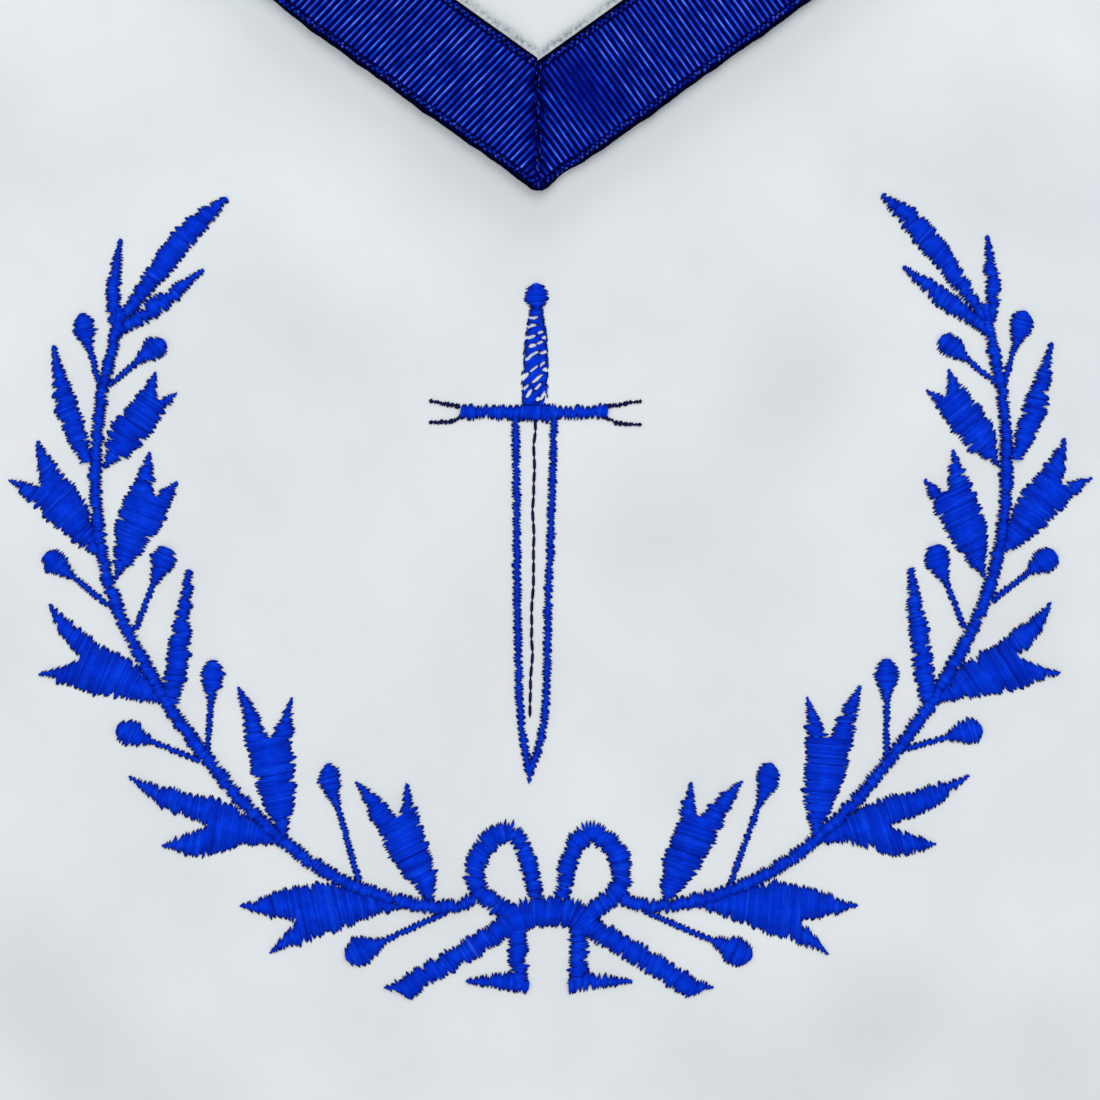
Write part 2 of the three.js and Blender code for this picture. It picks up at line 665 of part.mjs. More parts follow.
function beltStations() {
  const total = bendLength + backLength;
  const stations = [strapStation(-strapOutLength - strapSewnLength), strapStation(-strapOutLength)];
  const bendSteps = 18;
  for (let i = 0; i <= bendSteps; i += 1) {
    stations.push(strapStation((bendLength * i) / bendSteps));
  }
  const tailStops = [returnTail, 0.75 * returnTail, returnClosing, returnClosing / 2, 0];
  const backSteps = 7;
  for (let i = 1; i <= backSteps; i += 1) {
    stations.push(strapStation(bendLength + ((backLength - returnTail) * i) / backSteps));
  }
  for (const stop of tailStops.slice(1)) {
    stations.push(strapStation(total - stop));
  }
  const wrapSteps = 8;
  for (let i = 1; i < wrapSteps; i += 1) {
    const turn = (Math.PI * i) / wrapSteps;
    const face = new THREE.Vector3(-Math.sin(turn), Math.cos(turn), 0);
    const centre = new THREE.Vector3(barReach, barY, claspHeight / 2).addScaledVector(face, wrapRadius);
    stations.push({ centre, wide: new THREE.Vector3(0, 0, 1), face });
  }
  const closed = webThickness + gap;
  for (const stop of [...tailStops].reverse()) {
    const open = 1 - smoothStep(stop / returnClosing);
    const station = strapStation(total - stop, closed + (2 * wrapRadius - closed) * open);
    stations.push({ ...station, face: station.face.clone().negate() });
  }
  return stations;
}

function beltStrap() {
  return solidOf(strip(beltStations(), webWidth, webThickness));
}

function uprightBox(width, height, depth, x) {
  const geometry = new THREE.BoxGeometry(width, depth, height);
  geometry.translate(x, barY, claspHeight / 2);
  return solidOf(geometry);
}

function beltClasp() {
  const plate = uprightBox(2 * barReach + claspBar, claspHeight, claspBar, 0);
  const slotX = (claspMiddle + claspSlot) / 2;
  const leftSlot = uprightBox(claspSlot, slotHeight, 3 * claspBar, -slotX);
  const rightSlot = uprightBox(claspSlot, slotHeight, 3 * claspBar, slotX);
  return plate.subtract(leftSlot).subtract(rightSlot);
}

const apron = new THREE.Group();

function addPiece(name, solid, material) {
  const mesh = new THREE.Mesh(geometryOf(solid), material);
  mesh.name = name;
  apron.add(mesh);
}

addPiece('apron_body', apronBody(), colours.leather);
addPiece('flap', flap(), colours.leather);
addPiece('flap_ribbon', flapRibbon(), colours.ribbon);
addPiece('border_ribbon', borderRibbon(), colours.ribbon);
addPiece('embroidered_wreath_left', wreathBranch(-1), colours.thread);
addPiece('embroidered_wreath_right', wreathBranch(1), colours.thread);
addPiece('embroidered_bow', embroideredBow(), colours.thread);
addPiece('embroidered_sword', embroideredSword(), colours.thread);
addPiece('belt_right', beltStrap(), colours.webbing);
addPiece('belt_left', beltStrap().mirror([1, 0, 0]), colours.webbing);
addPiece('belt_clasp', beltClasp(), colours.metal);

export default apron;
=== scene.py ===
# %% [markdown]
# This lesson dresses a white leather ceremonial apron. The measured model gives the place and
# size of every piece. Here each plain solid gets the surface of the real thing: soft leather,
# ribbed ribbon, raised satin stitches made of real strands, woven webbing and a metal clasp.

# %% Load the measured model
import math
import bmesh
import bpy
import numpy as np
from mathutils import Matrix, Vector


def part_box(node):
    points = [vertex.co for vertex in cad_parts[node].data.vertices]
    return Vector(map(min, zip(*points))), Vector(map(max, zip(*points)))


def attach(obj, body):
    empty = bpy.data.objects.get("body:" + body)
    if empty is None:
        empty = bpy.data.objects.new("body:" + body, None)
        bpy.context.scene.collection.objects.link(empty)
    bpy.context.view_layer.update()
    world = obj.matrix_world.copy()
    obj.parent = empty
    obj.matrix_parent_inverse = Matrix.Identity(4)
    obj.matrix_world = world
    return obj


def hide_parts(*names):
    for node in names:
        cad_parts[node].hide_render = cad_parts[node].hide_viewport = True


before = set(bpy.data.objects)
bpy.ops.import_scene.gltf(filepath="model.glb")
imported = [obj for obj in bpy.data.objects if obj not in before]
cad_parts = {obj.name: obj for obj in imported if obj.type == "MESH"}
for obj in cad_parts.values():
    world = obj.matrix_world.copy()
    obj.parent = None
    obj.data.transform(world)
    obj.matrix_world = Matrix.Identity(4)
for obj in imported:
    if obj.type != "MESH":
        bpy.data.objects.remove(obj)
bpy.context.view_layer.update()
print("nodes:", sorted(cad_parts))

# %% [markdown]
# Blender works in metres, but a sewn thing is easier to think of in millimetres. So every size
# below is written in millimetres and a point is made smaller only when it goes into a mesh.
# The sizes of the panel come from the model's own box, and the few others are those that a
# maker knows: the ribbon's width, the leather's thickness and the belt's webbing.

# %% Sizes in millimetres
MM = 0.001
panel_low, panel_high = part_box("apron_body")
HALF_WIDTH = panel_high.x / MM
TOP_EDGE = panel_high.y / MM
BOTTOM_EDGE = panel_low.y / MM
LEATHER = 1.5
GAP = 0.3
FLAP_DROP = 145.0
FLAP_TIP = TOP_EDGE - FLAP_DROP
FLAP_SLOPE = math.atan2(FLAP_DROP, HALF_WIDTH)
FLAP_INSET = 0.6
CORNER_CLIP = 3.0
HEM_DEPTH = 14.0
RIBBON_WIDTH = 22.0
RIBBON_TOP_INSET = 1.0
WEB_WIDTH = 25.0
WEB_THICKNESS = 1.5
WEB_EDGE_INSET = 2.0
STRAP_SEWN = 30.0
BACK_LIFT = LEATHER + GAP
LIFT_LAND = WEB_WIDTH + WEB_EDGE_INSET + 1.0
LIFT_RAMP = 32.0
print("panel:", round(2 * HALF_WIDTH), "by", round(TOP_EDGE - BOTTOM_EDGE), "mm")

# %% [markdown]
# The camera looks straight down, as the photograph does, at the middle of the emblem. Its
# frame is 220 mm wide. A long lens keeps the view flat, and the distance follows from the lens.

# %% Camera
VIEW_WIDTH = 220.0
VIEW_CENTRE = (2.1, -38.0)
LENS = 85.0
SENSOR = 36.0
camera_data = bpy.data.cameras.new("overhead_camera")
camera_data.lens = LENS
camera_data.sensor_width = SENSOR
camera = bpy.data.objects.new("overhead_camera", camera_data)
camera_height = VIEW_WIDTH * LENS / SENSOR + 3.0
camera.location = Vector((VIEW_CENTRE[0], VIEW_CENTRE[1], camera_height)) * MM
bpy.context.scene.collection.objects.link(camera)
bpy.context.scene.camera = camera
print("camera height:", round(camera_height), "mm")

# %% [markdown]
# Leather that lies on a table is never quite flat. A short table of soft swells gives the
# panel its gentle waves, with places and sizes as shares of the panel's half width and half
# height. Each swell dies out to nothing at its edge, so the rest of the panel lies flat. The
# top of the panel is also raised a little where the flap's hem and the belt lie behind it.

# %% The laid leather's height
SWELL_HEIGHT = 2.5
# Each row: place across and up, length, width, angle in degrees, and height.
SWELLS = [
    (-0.19, 0.09, 0.17, 0.11, -27, 0.9),
    (0.17, -0.05, 0.21, 0.12, 46, 1.0),
    (-0.47, -0.68, 0.24, 0.11, -49, 1.0),
    (0.31, -0.72, 0.20, 0.10, 42, 0.7),
    (0.57, -0.36, 0.24, 0.12, 82, 0.6),
    (0.47, 0.25, 0.25, 0.12, -10, 0.8),
    (-0.49, 0.30, 0.24, 0.11, 9, 0.7),
    (-0.80, -0.30, 0.32, 0.15, 76, 1.1),
    (0.82, -0.10, 0.30, 0.14, 98, 1.0),
    (0.08, -0.96, 0.28, 0.13, 4, 0.7),
    (0.97, -0.97, 0.34, 0.24, 45, 1.4),
]


def smooth_step(value):
    t = np.clip(value, 0.0, 1.0)
    return t * t * (3 - 2 * t)


def bell(distance, reach):
    """1 at no distance, falling softly to almost nothing at twice the reach."""
    return np.exp(-((distance / reach) ** 2))


def wobble(places, seed):
    """A slow, smooth waver between about -1 and 1."""
    waves = [(0.21, 0.45), (0.47, 0.3), (1.13, 0.25)]
    return sum(share * np.sin(places * rate + seed * 3.7 + rate * 9) for rate, share in waves)


def out_of_oval(x, y, centre, half_sizes, degrees):
    """How far places lie from the middle of a turned oval: 0 in its middle and 1 on its edge."""
    angle = math.radians(degrees)
    dx, dy = x - centre[0], y - centre[1]
    along = (dx * math.cos(angle) + dy * math.sin(angle)) / half_sizes[0]
    across = (dy * math.cos(angle) - dx * math.sin(angle)) / half_sizes[1]
    return along**2 + across**2


def lay_height(x, y):
    """Height of the panel's back over the table, in millimetres, at one place or at many."""
    height = BACK_LIFT * (1 - smooth_step((TOP_EDGE - LIFT_LAND - y) / LIFT_RAMP))
    for across, up, length, width, angle, rise in SWELLS:
        centre = (across * HALF_WIDTH, up * TOP_EDGE)
        away = out_of_oval(x, y, centre, (length * HALF_WIDTH, width * HALF_WIDTH), angle)
        height = height + SWELL_HEIGHT * rise * np.clip(1 - away, 0, None) ** 2
    return height


def side_name(side):
    return "right" if side > 0 else "left"


print("a swell beside the sword:", round(float(lay_height(34.5, -9.0)), 2), "mm high")

# %% [markdown]
# Materials come next, so that each piece can take its finish as it is made. Soft goods are
# never one flat colour: leather and cloth have broad, faint patches. That effect is wanted in
# three materials, so it is a node group with its own inputs, built once and placed in each.

# %% Helpers for nodes
SOCKET_KINDS = {float: "NodeSocketFloat", tuple: "NodeSocketColor", type(None): "NodeSocketVector"}


def feed(tree, node, inputs):
    """Fills a node's inputs, each with a plain value or with another node's output."""
    for name, value in inputs.items():
        if isinstance(value, bpy.types.NodeSocket):
            tree.links.new(value, node.inputs[name])
        else:
            node.inputs[name].default_value = value


def add_node(tree, kind, inputs, **settings):
    node = tree.nodes.new(kind)
    for name, value in settings.items():
        setattr(node, name, value)
    feed(tree, node, inputs)
    return node


def new_group(name, inputs, output, kind):
    """Starts a node group, and gives back its tree, its own inputs and the node that ends it."""
    group = bpy.data.node_groups.new(name, "ShaderNodeTree")
    for label, value in inputs.items():
        socket = group.interface.new_socket(label, in_out="INPUT", socket_type=SOCKET_KINDS[type(value)])
        if value is not None:
            socket.default_value = value
    group.interface.new_socket(output, in_out="OUTPUT", socket_type=kind)
    return group, add_node(group, "NodeGroupInput", {}).outputs, add_node(group, "NodeGroupOutput", {})


def place_group(tree, group, output, inputs):
    return add_node(tree, "ShaderNodeGroup", inputs, node_tree=group).outputs[output]


def maths(tree, operation, *values):
    """Reckons with one or two numbers, and gives back the result."""
    return add_node(tree, "ShaderNodeMath", dict(enumerate(values)), operation=operation).outputs[0]


def mixed(tree, factor, first, second, blend="MIX"):
    """The second colour over the first, as far as the factor says."""
    inputs = {"Factor": factor, "A": first, "B": second}
    return add_node(tree, "ShaderNodeMix", inputs, data_type="RGBA", blend_type=blend).outputs["Result"]


def noise(tree, place, scale, detail=2.0, roughness=0.5):
    inputs = {"Vector": place, "Scale": scale, "Detail": detail, "Roughness": roughness}
    return add_node(tree, "ShaderNodeTexNoise", inputs).outputs["Fac"]


def spread_out(tree, value, low, high, new_low=0.0, new_high=1.0):
    """Stretches the range from low to high over a new range."""
    inputs = {"Value": value, "From Min": low, "From Max": high, "To Min": new_low, "To Max": new_high}
    return add_node(tree, "ShaderNodeMapRange", inputs).outputs["Result"]


def stretched(tree, place, scale):
    return add_node(tree, "ShaderNodeMapping", {"Vector": place, "Scale": scale}).outputs["Vector"]


def object_place(tree):
    return add_node(tree, "ShaderNodeTexCoord", {}).outputs["Object"]


def strip_place(tree):
    """Millimetres along and across a strip, from the piece's own UV map."""
    return add_node(tree, "ShaderNodeUVMap", {}, uv_map="strip").outputs["UV"]


def attribute(tree, name):
    """A number that the piece's own mesh keeps at every point, or 0 where it keeps none."""
    return add_node(tree, "ShaderNodeAttribute", {}, attribute_name=name).outputs["Fac"]


# %% Patchy colour, as a group
PATCHES = {"Vector": None, "Scale": 20.0, "Light Colour": (1, 1, 1, 1), "Shade Colour": (0.8, 0.8, 0.8, 1)}
mottle, given, ends = new_group("soft mottle", PATCHES, "Color", "NodeSocketColor")
broad = noise(mottle, given["Vector"], given["Scale"], 4.0, 0.55)
share = spread_out(mottle, broad, 0.32, 0.68)
feed(mottle, ends, {"Color": mixed(mottle, share, given["Shade Colour"], given["Light Colour"])})
print("group:", mottle.name)

# %% [markdown]
# White apron leather is nearly smooth. Seen close, it has pores and fine wrinkles a fraction of
# a millimetre apart. A cell pattern makes the pebbles between the wrinkles and a fine noise
# breaks them up. Both only go into a height, which a Bump node turns into shading.

# %% Leather grain, as a group
PEBBLES = {"Vector": None, "Pebbles per metre": 1400.0}
grain, given, ends = new_group("leather grain", PEBBLES, "Height", "NodeSocketFloat")
pebbles_per_metre = given["Pebbles per metre"]
cell_inputs = {"Vector": given["Vector"], "Scale": pebbles_per_metre, "Smoothness": 0.6}
cells = add_node(grain, "ShaderNodeTexVoronoi", cell_inputs, feature="SMOOTH_F1")
fine = noise(grain, given["Vector"], maths(grain, "MULTIPLY", pebbles_per_metre, 0.6), 3.0)
pebbles = maths(grain, "MULTIPLY", cells.outputs["Distance"], -0.6)
feed(grain, ends, {"Height": maths(grain, "ADD", pebbles, fine)})
print("group:", grain.name)

# %% [markdown]
# Woven goods share one more effect: threads that cross. The pattern reads the piece's own UV
# map, which holds millimetres along and across the strip, so that it turns with the strip.

# %% Crossing threads, as a group
THREADS = {"UV": None, "Pitch Along": 1.0, "Pitch Across": 1.0}
weave, given, ends = new_group("crossing threads", THREADS, "Height", "NodeSocketFloat")
parts = add_node(weave, "ShaderNodeSeparateXYZ", {"Vector": given["UV"]})
waves = []
for axis, pitch in (("X", "Pitch Along"), ("Y", "Pitch Across")):
    turns = maths(weave, "DIVIDE", parts.outputs[axis], given[pitch])
    waves.append(maths(weave, "SINE", maths(weave, "MULTIPLY", turns, math.pi)))
crossing = maths(weave, "MULTIPLY", *waves)
feed(weave, ends, {"Height": maths(weave, "ABSOLUTE", crossing)})
print("group:", weave.name)

# %% [markdown]
# Each material keeps its own shader. Small helpers start one, turn a height into relief, and
# lay the patchy colour over the piece. What they make is fed to the shader at the end.

# %% White leather
WHITE = (1.0, 1.0, 1.0, 1)


def new_material(name, roughness, colour=WHITE):
    material = bpy.data.materials.new(name)
    material.use_nodes = True
    material.diffuse_color = colour
    shader = material.node_tree.nodes["Principled BSDF"]
    feed(material.node_tree, shader, {"Roughness": roughness, "Base Color": colour})
    return material, material.node_tree, shader


def relief(tree, height, distance, strength):
    inputs = {"Height": height, "Distance": distance, "Strength": strength}
    return add_node(tree, "ShaderNodeBump", inputs).outputs["Normal"]


def patchy(tree, scale, light, shade):
    inputs = {"Vector": object_place(tree), "Scale": scale, "Light Colour": light, "Shade Colour": shade}
    return place_group(tree, mottle, "Color", inputs)


white_leather, tree, shader = new_material("white_leather", 0.55)
mottled_leather = patchy(tree, 22.0, (0.785, 0.822, 0.838, 1), (0.705, 0.742, 0.768, 1))
# The groove's colour is grit, with painted shade where the groove dips.
groove_grit_and_shade = patchy(tree, 1500.0, (0.52, 0.58, 0.61, 1), (0.09, 0.12, 0.14, 1))
# Painted shade: the darkening attribute draws the leather towards grey in broad patches, and in a band
# beside the flap.
darkened_leather = mixed(tree, attribute(tree, "darkening"), mottled_leather, (0.610, 0.645, 0.670, 1))
grooved = mixed(tree, attribute(tree, "groove"), darkened_leather, groove_grit_and_shade)
pores = place_group(tree, grain, "Height", {"Vector": object_place(tree), "Pebbles per metre": 1500.0})
finish = {"Base Color": grooved, "Normal": relief(tree, pores, 0.00008, 0.7), "Specular IOR Level": 0.25}
feed(tree, shader, finish)
print("material:", white_leather.name)

# %% [markdown]
# Grosgrain ribbon is ribbed because thick weft threads lie side by side under a fine warp. The
# ribs are modelled, not painted, so the mesh tells the material how high each point lies on
# its rib. The colour follows that height: the tops get a painted highlight of brighter blue,
# and the valleys painted shade that is nearly black.

# %% Blue ribbon


def colour_ramp(tree, value, *stops):
    node = add_node(tree, "ShaderNodeValToRGB", {"Fac": value})
    elements = node.color_ramp.elements
    elements[0].position, elements[0].color = stops[0]
    elements[1].position, elements[1].color = stops[-1]
    for position, colour in stops[1:-1]:
        elements.new(position).color = colour
    return node.outputs["Color"]


blue_ribbon, tree, shader = new_material("blue_ribbon", 0.42, (0.003, 0.012, 0.30, 1))
streaks = noise(tree, stretched(tree, strip_place(tree), (0.8, 0.22, 1.0)), 1.0, 3.0)
# Painted light: the ramp turns each point's height on its rib into a bright highlight on the tops and
# near-black shade in the valleys, the mitre and the selvedges. The stretched noise breaks the highlight up
# along the ribs.
rib_painted_light = colour_ramp(
    tree,
    maths(tree, "MULTIPLY", attribute(tree, "rib"), spread_out(tree, streaks, 0.30, 0.70, 0.70, 1.20)),
    (0.0, (0.0, 0.0001, 0.012, 1)),
    (0.17, (0.0, 0.0005, 0.072, 1)),
    (0.41, (0.0001, 0.008, 0.28, 1)),
    (0.66, (0.0030, 0.058, 0.68, 1)),
    (0.82, (0.075, 0.210, 1.0, 1)),
    (1.0, (0.260, 0.440, 1.0, 1)),
)
ribbon_patches = patchy(tree, 160.0, WHITE, (0.70, 0.74, 0.84, 1))
ribbon_colour = mixed(tree, 1.0, rib_painted_light, ribbon_patches, "MULTIPLY")
warp_inputs = {"UV": strip_place(tree), "Pitch Along": 0.6, "Pitch Across": 0.28}
warp = relief(tree, place_group(tree, weave, "Height", warp_inputs), 0.00005, 0.6)
feed(tree, shader, {"Base Color": ribbon_colour, "Normal": warp, "Specular IOR Level": 0.01})
print("material:", blue_ribbon.name)

# %% [markdown]
# Embroidery thread is glossy. Every strand gets its own tone and a painted sheen from the mesh,
# as dyed thread catches the light at its own angle, and its ends get painted shade where they
# dive into the leather.

# %% Blue thread
blue_thread, tree, shader = new_material("blue_thread", 0.38, (0.002, 0.03, 0.62, 1))
# Each strand's own tone and painted sheen, up to a painted violet highlight at the top of the ramp.
strand_tone_and_sheen = colour_ramp(
    tree,
    attribute(tree, "shade"),
    (0.0, (0.0001, 0.013, 0.36, 1)),
    (0.5, (0.0001, 0.045, 0.84, 1)),
    (0.9, (0.0050, 0.082, 0.98, 1)),
    (1.0, (0.060, 0.130, 0.98, 1)),
)
thread_patches = patchy(tree, 650.0, WHITE, (0.62, 0.66, 0.73, 1))
dyed = mixed(tree, 1.0, strand_tone_and_sheen, thread_patches, "MULTIPLY")
# Painted shade at each strand's ends, where it dives into the leather, and all over the darkened ones.
thread_colour = mixed(tree, attribute(tree, "tip"), dyed, (0.0008, 0.0012, 0.07, 1))
twist = relief(tree, noise(tree, object_place(tree), 6000.0, 1.0), 0.00004, 0.5)
feed(tree, shader, {"Base Color": thread_colour, "Normal": twist, "Specular IOR Level": 0.02})
print("material:", blue_thread.name)

# %% Dark thread, webbing and metal
dark_thread, tree, shader = new_material("dark_thread", 0.6, (0.006, 0.006, 0.030, 1))
fuzz = noise(tree, object_place(tree), 5000.0)
dark_colour = colour_ramp(tree, fuzz, (0.3, (0.003, 0.003, 0.022, 1)), (0.7, (0.008, 0.010, 0.095, 1)))
feed(tree, shader, {"Base Color": dark_colour, "Specular IOR Level": 0.05})

webbing, tree, shader = new_material("white_webbing", 0.8, (0.74, 0.75, 0.74, 1))
web_inputs = {"UV": strip_place(tree), "Pitch Along": 1.1, "Pitch Across": 0.9}
threads = place_group(tree, weave, "Height", web_inputs)
# Painted shade: the weave's height also darkens the colour in the hollows between crossing threads.
weave_painted_shade = colour_ramp(tree, threads, (0.0, (0.50, 0.51, 0.52, 1)), (0.6, (0.78, 0.79, 0.79, 1)))
feed(tree, shader, {"Base Color": weave_painted_shade, "Normal": relief(tree, threads, 0.00025, 0.8)})

nickel, tree, shader = new_material("nickel", 0.28, (0.58, 0.58, 0.56, 1))
brushed = noise(tree, stretched(tree, object_place(tree), (60.0, 4000.0, 4000.0)), 1.0)
gloss = spread_out(tree, brushed, 0.0, 1.0, 0.2, 0.42)
feed(tree, shader, {"Metallic": 1.0, "Roughness": gloss, "Normal": relief(tree, brushed, 0.00001, 0.4)})
print("materials:", dark_thread.name, webbing.name, nickel.name)

# %% [markdown]
# Every piece ends the same way: its mesh becomes an object at the origin, it gets its material,
# it rides with the model's body, and it may stand in for one of the plain solids.

# %% A helper that finishes a piece


def add_piece(name, mesh, material, replaced=None):
    piece = bpy.data.objects.new(name, mesh)
    bpy.context.scene.collection.objects.link(piece)
    mesh.materials.append(material)
    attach(piece, "root")
    if replaced:
        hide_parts(replaced)
    return piece


def mesh_from(bm, name):
    """Makes a mesh, turning millimetres into metres, with smooth shading."""
    bmesh.ops.scale(bm, vec=(MM, MM, MM), verts=bm.verts)
    mesh = bpy.data.meshes.new(name)
    bm.to_mesh(mesh)
    bm.free()
    mesh.shade_smooth()
    return mesh


def thicken(piece, thickness, offset, edge_round=0.0):
    """Gives a sheet its thickness and soft edges, and fixes both into the mesh."""
    solid = piece.modifiers.new("thickness", "SOLIDIFY")
    solid.thickness = thickness * MM
    solid.offset = offset
    solid.use_even_offset = True
    if edge_round:
        soft = piece.modifiers.new("soft edge", "BEVEL")
        soft.width = edge_round * MM
        soft.segments = 2
        soft.limit_method = "ANGLE"
        soft.angle_limit = math.radians(60)
    bpy.context.view_layer.update()
    shaped = piece.evaluated_get(bpy.context.evaluated_depsgraph_get())
    finished = bpy.data.meshes.new_from_object(shaped)
    piece.modifiers.clear()
    piece.data = finished
    return piece


# %% [markdown]
# The panel is one sheet of leather. A plain grid is enough, because it has no holes: the grid
# is scaled to the panel, its two lower corners are rounded by drawing the points in, and every
# point is then raised by the height function. The sheet gets its thickness last.

# %% The leather panel
PANEL_STEP = 2.4
BODY_CORNER = 3.0
CUT_EDGE_ROUND = 0.35
FLAP_SHADE = 0.48
FLAP_SHADE_OUT = 3.8
FLAP_SHADE_WIDTH = 5.5
# Each row: place across and up, radius, and depth of a patch of painted shade.
PAINTED_SHADE_PATCHES = [
    (0.246, -0.02, 0.090, 0.52),
    (0.099, -0.18, 0.080, 0.34),
    (-0.256, 0.04, 0.075, 0.34),
    (-0.020, 0.19, 0.085, 0.34),
    (0.330, -0.72, 0.080, 0.45),
    (0.500, -0.78, 0.070, 0.34),
    (-0.500, -0.68, 0.080, 0.34),
    (-0.210, 0.36, 0.095, 0.32),
    (0.210, 0.36, 0.095, 0.32),
    (-0.110, 0.24, 0.075, 0.30),
    (0.120, 0.24, 0.075, 0.30),
    (0.460, 0.25, 0.070, 0.36),
    (0.220, -0.27, 0.100, 0.24),
    (0.480, -0.30, 0.070, 0.24),
    (0.230, -0.80, 0.085, 0.26),
    (-0.440, -0.80, 0.090, 0.30),
    (-0.010, 0.42, 0.110, 0.26),
]


def round_corner(x, y):
    """Draws points near the two lower corners in, onto a round corner."""
    inner_x = HALF_WIDTH - BODY_CORNER
    inner_y = BOTTOM_EDGE + BODY_CORNER
    if abs(x) <= inner_x or y >= inner_y:
        return x, y
    dx = abs(x) - inner_x
    dy = inner_y - y
    shrink = max(dx, dy) / math.hypot(dx, dy)
    return math.copysign(inner_x + dx * shrink, x), inner_y - dy * shrink


def ribbon_distance(x, y):
    """Distance inwards from the flap's outer edge, and less than 0 outside it."""
    return (y - FLAP_TIP) * math.cos(FLAP_SLOPE) - np.abs(x) * math.sin(FLAP_SLOPE)


def leather_darkening(x, y):
    """How far the leather is darkened, from 0 where it is not: painted shade in broad patches, and a
    darker band beside the flap.
    """
    total = FLAP_SHADE * bell(ribbon_distance(x, y) + FLAP_SHADE_OUT, FLAP_SHADE_WIDTH)
    for across, up, radius, depth in PAINTED_SHADE_PATCHES:
        away = np.hypot(x - across * HALF_WIDTH, y - up * TOP_EDGE)
        total = total + depth * bell(away, radius * HALF_WIDTH)
    return total


def leather_panel():
    bm = bmesh.new()
    # Painted shade in broad patches, and a darker band beside the flap, kept on every point.
    darkening_layer = bm.verts.layers.float.new("darkening")
    columns = round(2 * HALF_WIDTH / PANEL_STEP)
    rows = round((TOP_EDGE - BOTTOM_EDGE) / PANEL_STEP)
    bmesh.ops.create_grid(bm, x_segments=columns, y_segments=rows, size=1.0)
    for vert in bm.verts:
        x, y = round_corner(vert.co.x * HALF_WIDTH, vert.co.y * TOP_EDGE)
        vert.co = (x, y, 0.0)
    places = np.array([vert.co for vert in bm.verts])
    heights = lay_height(places[:, 0], places[:, 1]) + LEATHER
    for vert, height, darkening in zip(bm.verts, heights, leather_darkening(places[:, 0], places[:, 1])):
        vert.co.z = height
        vert[darkening_layer] = darkening
    mesh = mesh_from(bm, "leather_panel")
    piece = add_piece("leather_panel", mesh, white_leather, "apron_body")
    return thicken(piece, LEATHER, -1.0, CUT_EDGE_ROUND)


panel = leather_panel()
print("panel faces:", len(panel.data.polygons))

# %% [markdown]
# The flap is a second sheet, folded over the panel's top edge. It is drawn flat first, as it
# would be cut: a wide triangle with a narrow strip above it. Straight cuts divide it into
# small squares, closer together where it will fold. Then each point moves to its folded place.
# Leather puffs up a little where the ribbon's seam pulls it down, so the middle is raised.

# %% The flap's folded sheet
FLAP_STEP = 2.5
FOLD_STEP = 0.45
FOLD_RADIUS = LEATHER + GAP
FOLD_LENGTH = math.pi * FOLD_RADIUS
TIP_ROUND = 3.0
PUFF = 0.9
PUFF_AT_SEAM = 0.6
SEAM_RISE = 4.0
CROWN_RISE = 18.0
PUFF_END = 4.0
PUFF_FADE = 12.0
GROOVE_PLACE = 0.95
GROOVE_WIDTH = 1.05
GROOVE_DEPTH = 0.22
HEM_END_GAP = 2.0


def flap_rise(x, y):
    """The flap's middle height over the table, puffed up inside the ribbon."""
    inside = ribbon_distance(x, y) - RIBBON_WIDTH
    seam = smooth_step((inside - GROOVE_PLACE) / SEAM_RISE)
    crown = smooth_step(inside / CROWN_RISE)
    fade = smooth_step((TOP_EDGE - PUFF_END - y) / PUFF_FADE)
    puff = PUFF * (PUFF_AT_SEAM * seam + (1 - PUFF_AT_SEAM) * crown)
    puff = puff - GROOVE_DEPTH * groove_share(x, y)
    return lay_height(x, y) + 1.5 * LEATHER + GAP + puff * fade


def groove_share(x, y):
    """The soft groove along the ribbon's inner edges, from 0 beside it to 1 in its middle, also painted
    with shade and grit.
    """
    return bell(ribbon_distance(x, y) - RIBBON_WIDTH - GROOVE_PLACE, GROOVE_WIDTH)


def flat_outline(bm):
    """The flap's front and its strip, as two flat faces that share the fold line."""
    side = HALF_WIDTH - CORNER_CLIP - FLAP_INSET
    tip = FLAP_TIP + FLAP_INSET / math.cos(FLAP_SLOPE)
    hem_half = HALF_WIDTH - STRAP_SEWN - HEM_END_GAP
    hem_top = TOP_EDGE + FOLD_LENGTH + HEM_DEPTH
    side_foot = tip + side * math.tan(FLAP_SLOPE)
    centre = tip + TIP_ROUND / math.cos(FLAP_SLOPE)
    front = [(hem_half, TOP_EDGE), (-hem_half, TOP_EDGE), (-side, TOP_EDGE), (-side, side_foot)]
    for step in range(-4, 5):
        angle = FLAP_SLOPE * step / 4
        front.append((TIP_ROUND * math.sin(angle), centre - TIP_ROUND * math.cos(angle)))
    front += [(side, side_foot), (side, TOP_EDGE)]
    front_verts = [bm.verts.new((x, y, 0.0)) for x, y in front]
    strip = [bm.verts.new((x, hem_top, 0.0)) for x in (-hem_half, hem_half)]
    bm.faces.new(front_verts)
    bm.faces.new([front_verts[1], front_verts[0], strip[1], strip[0]])


def cut_lines(bm, normal, places):
    """Cuts the whole mesh along straight lines across one direction."""
    for place in places:
        parts = bm.verts[:] + bm.edges[:] + bm.faces[:]
        bmesh.ops.bisect_plane(bm, geom=parts, plane_co=Vector(normal) * place, plane_no=normal)


def fold_over(x, flat_y):
    """Where a point of the flat sheet lies once the sheet is folded over the top edge."""
    around = (flat_y - TOP_EDGE) / FOLD_RADIUS
    middle = BACK_LIFT + LEATHER / 2
    if around <= 0:
        return None
    if around < math.pi:
        y = TOP_EDGE + FOLD_RADIUS * math.sin(around)
        return Vector((x, y, middle + FOLD_RADIUS * math.cos(around)))
    return Vector((x, TOP_EDGE - (flat_y - TOP_EDGE - FOLD_LENGTH), middle - FOLD_RADIUS))


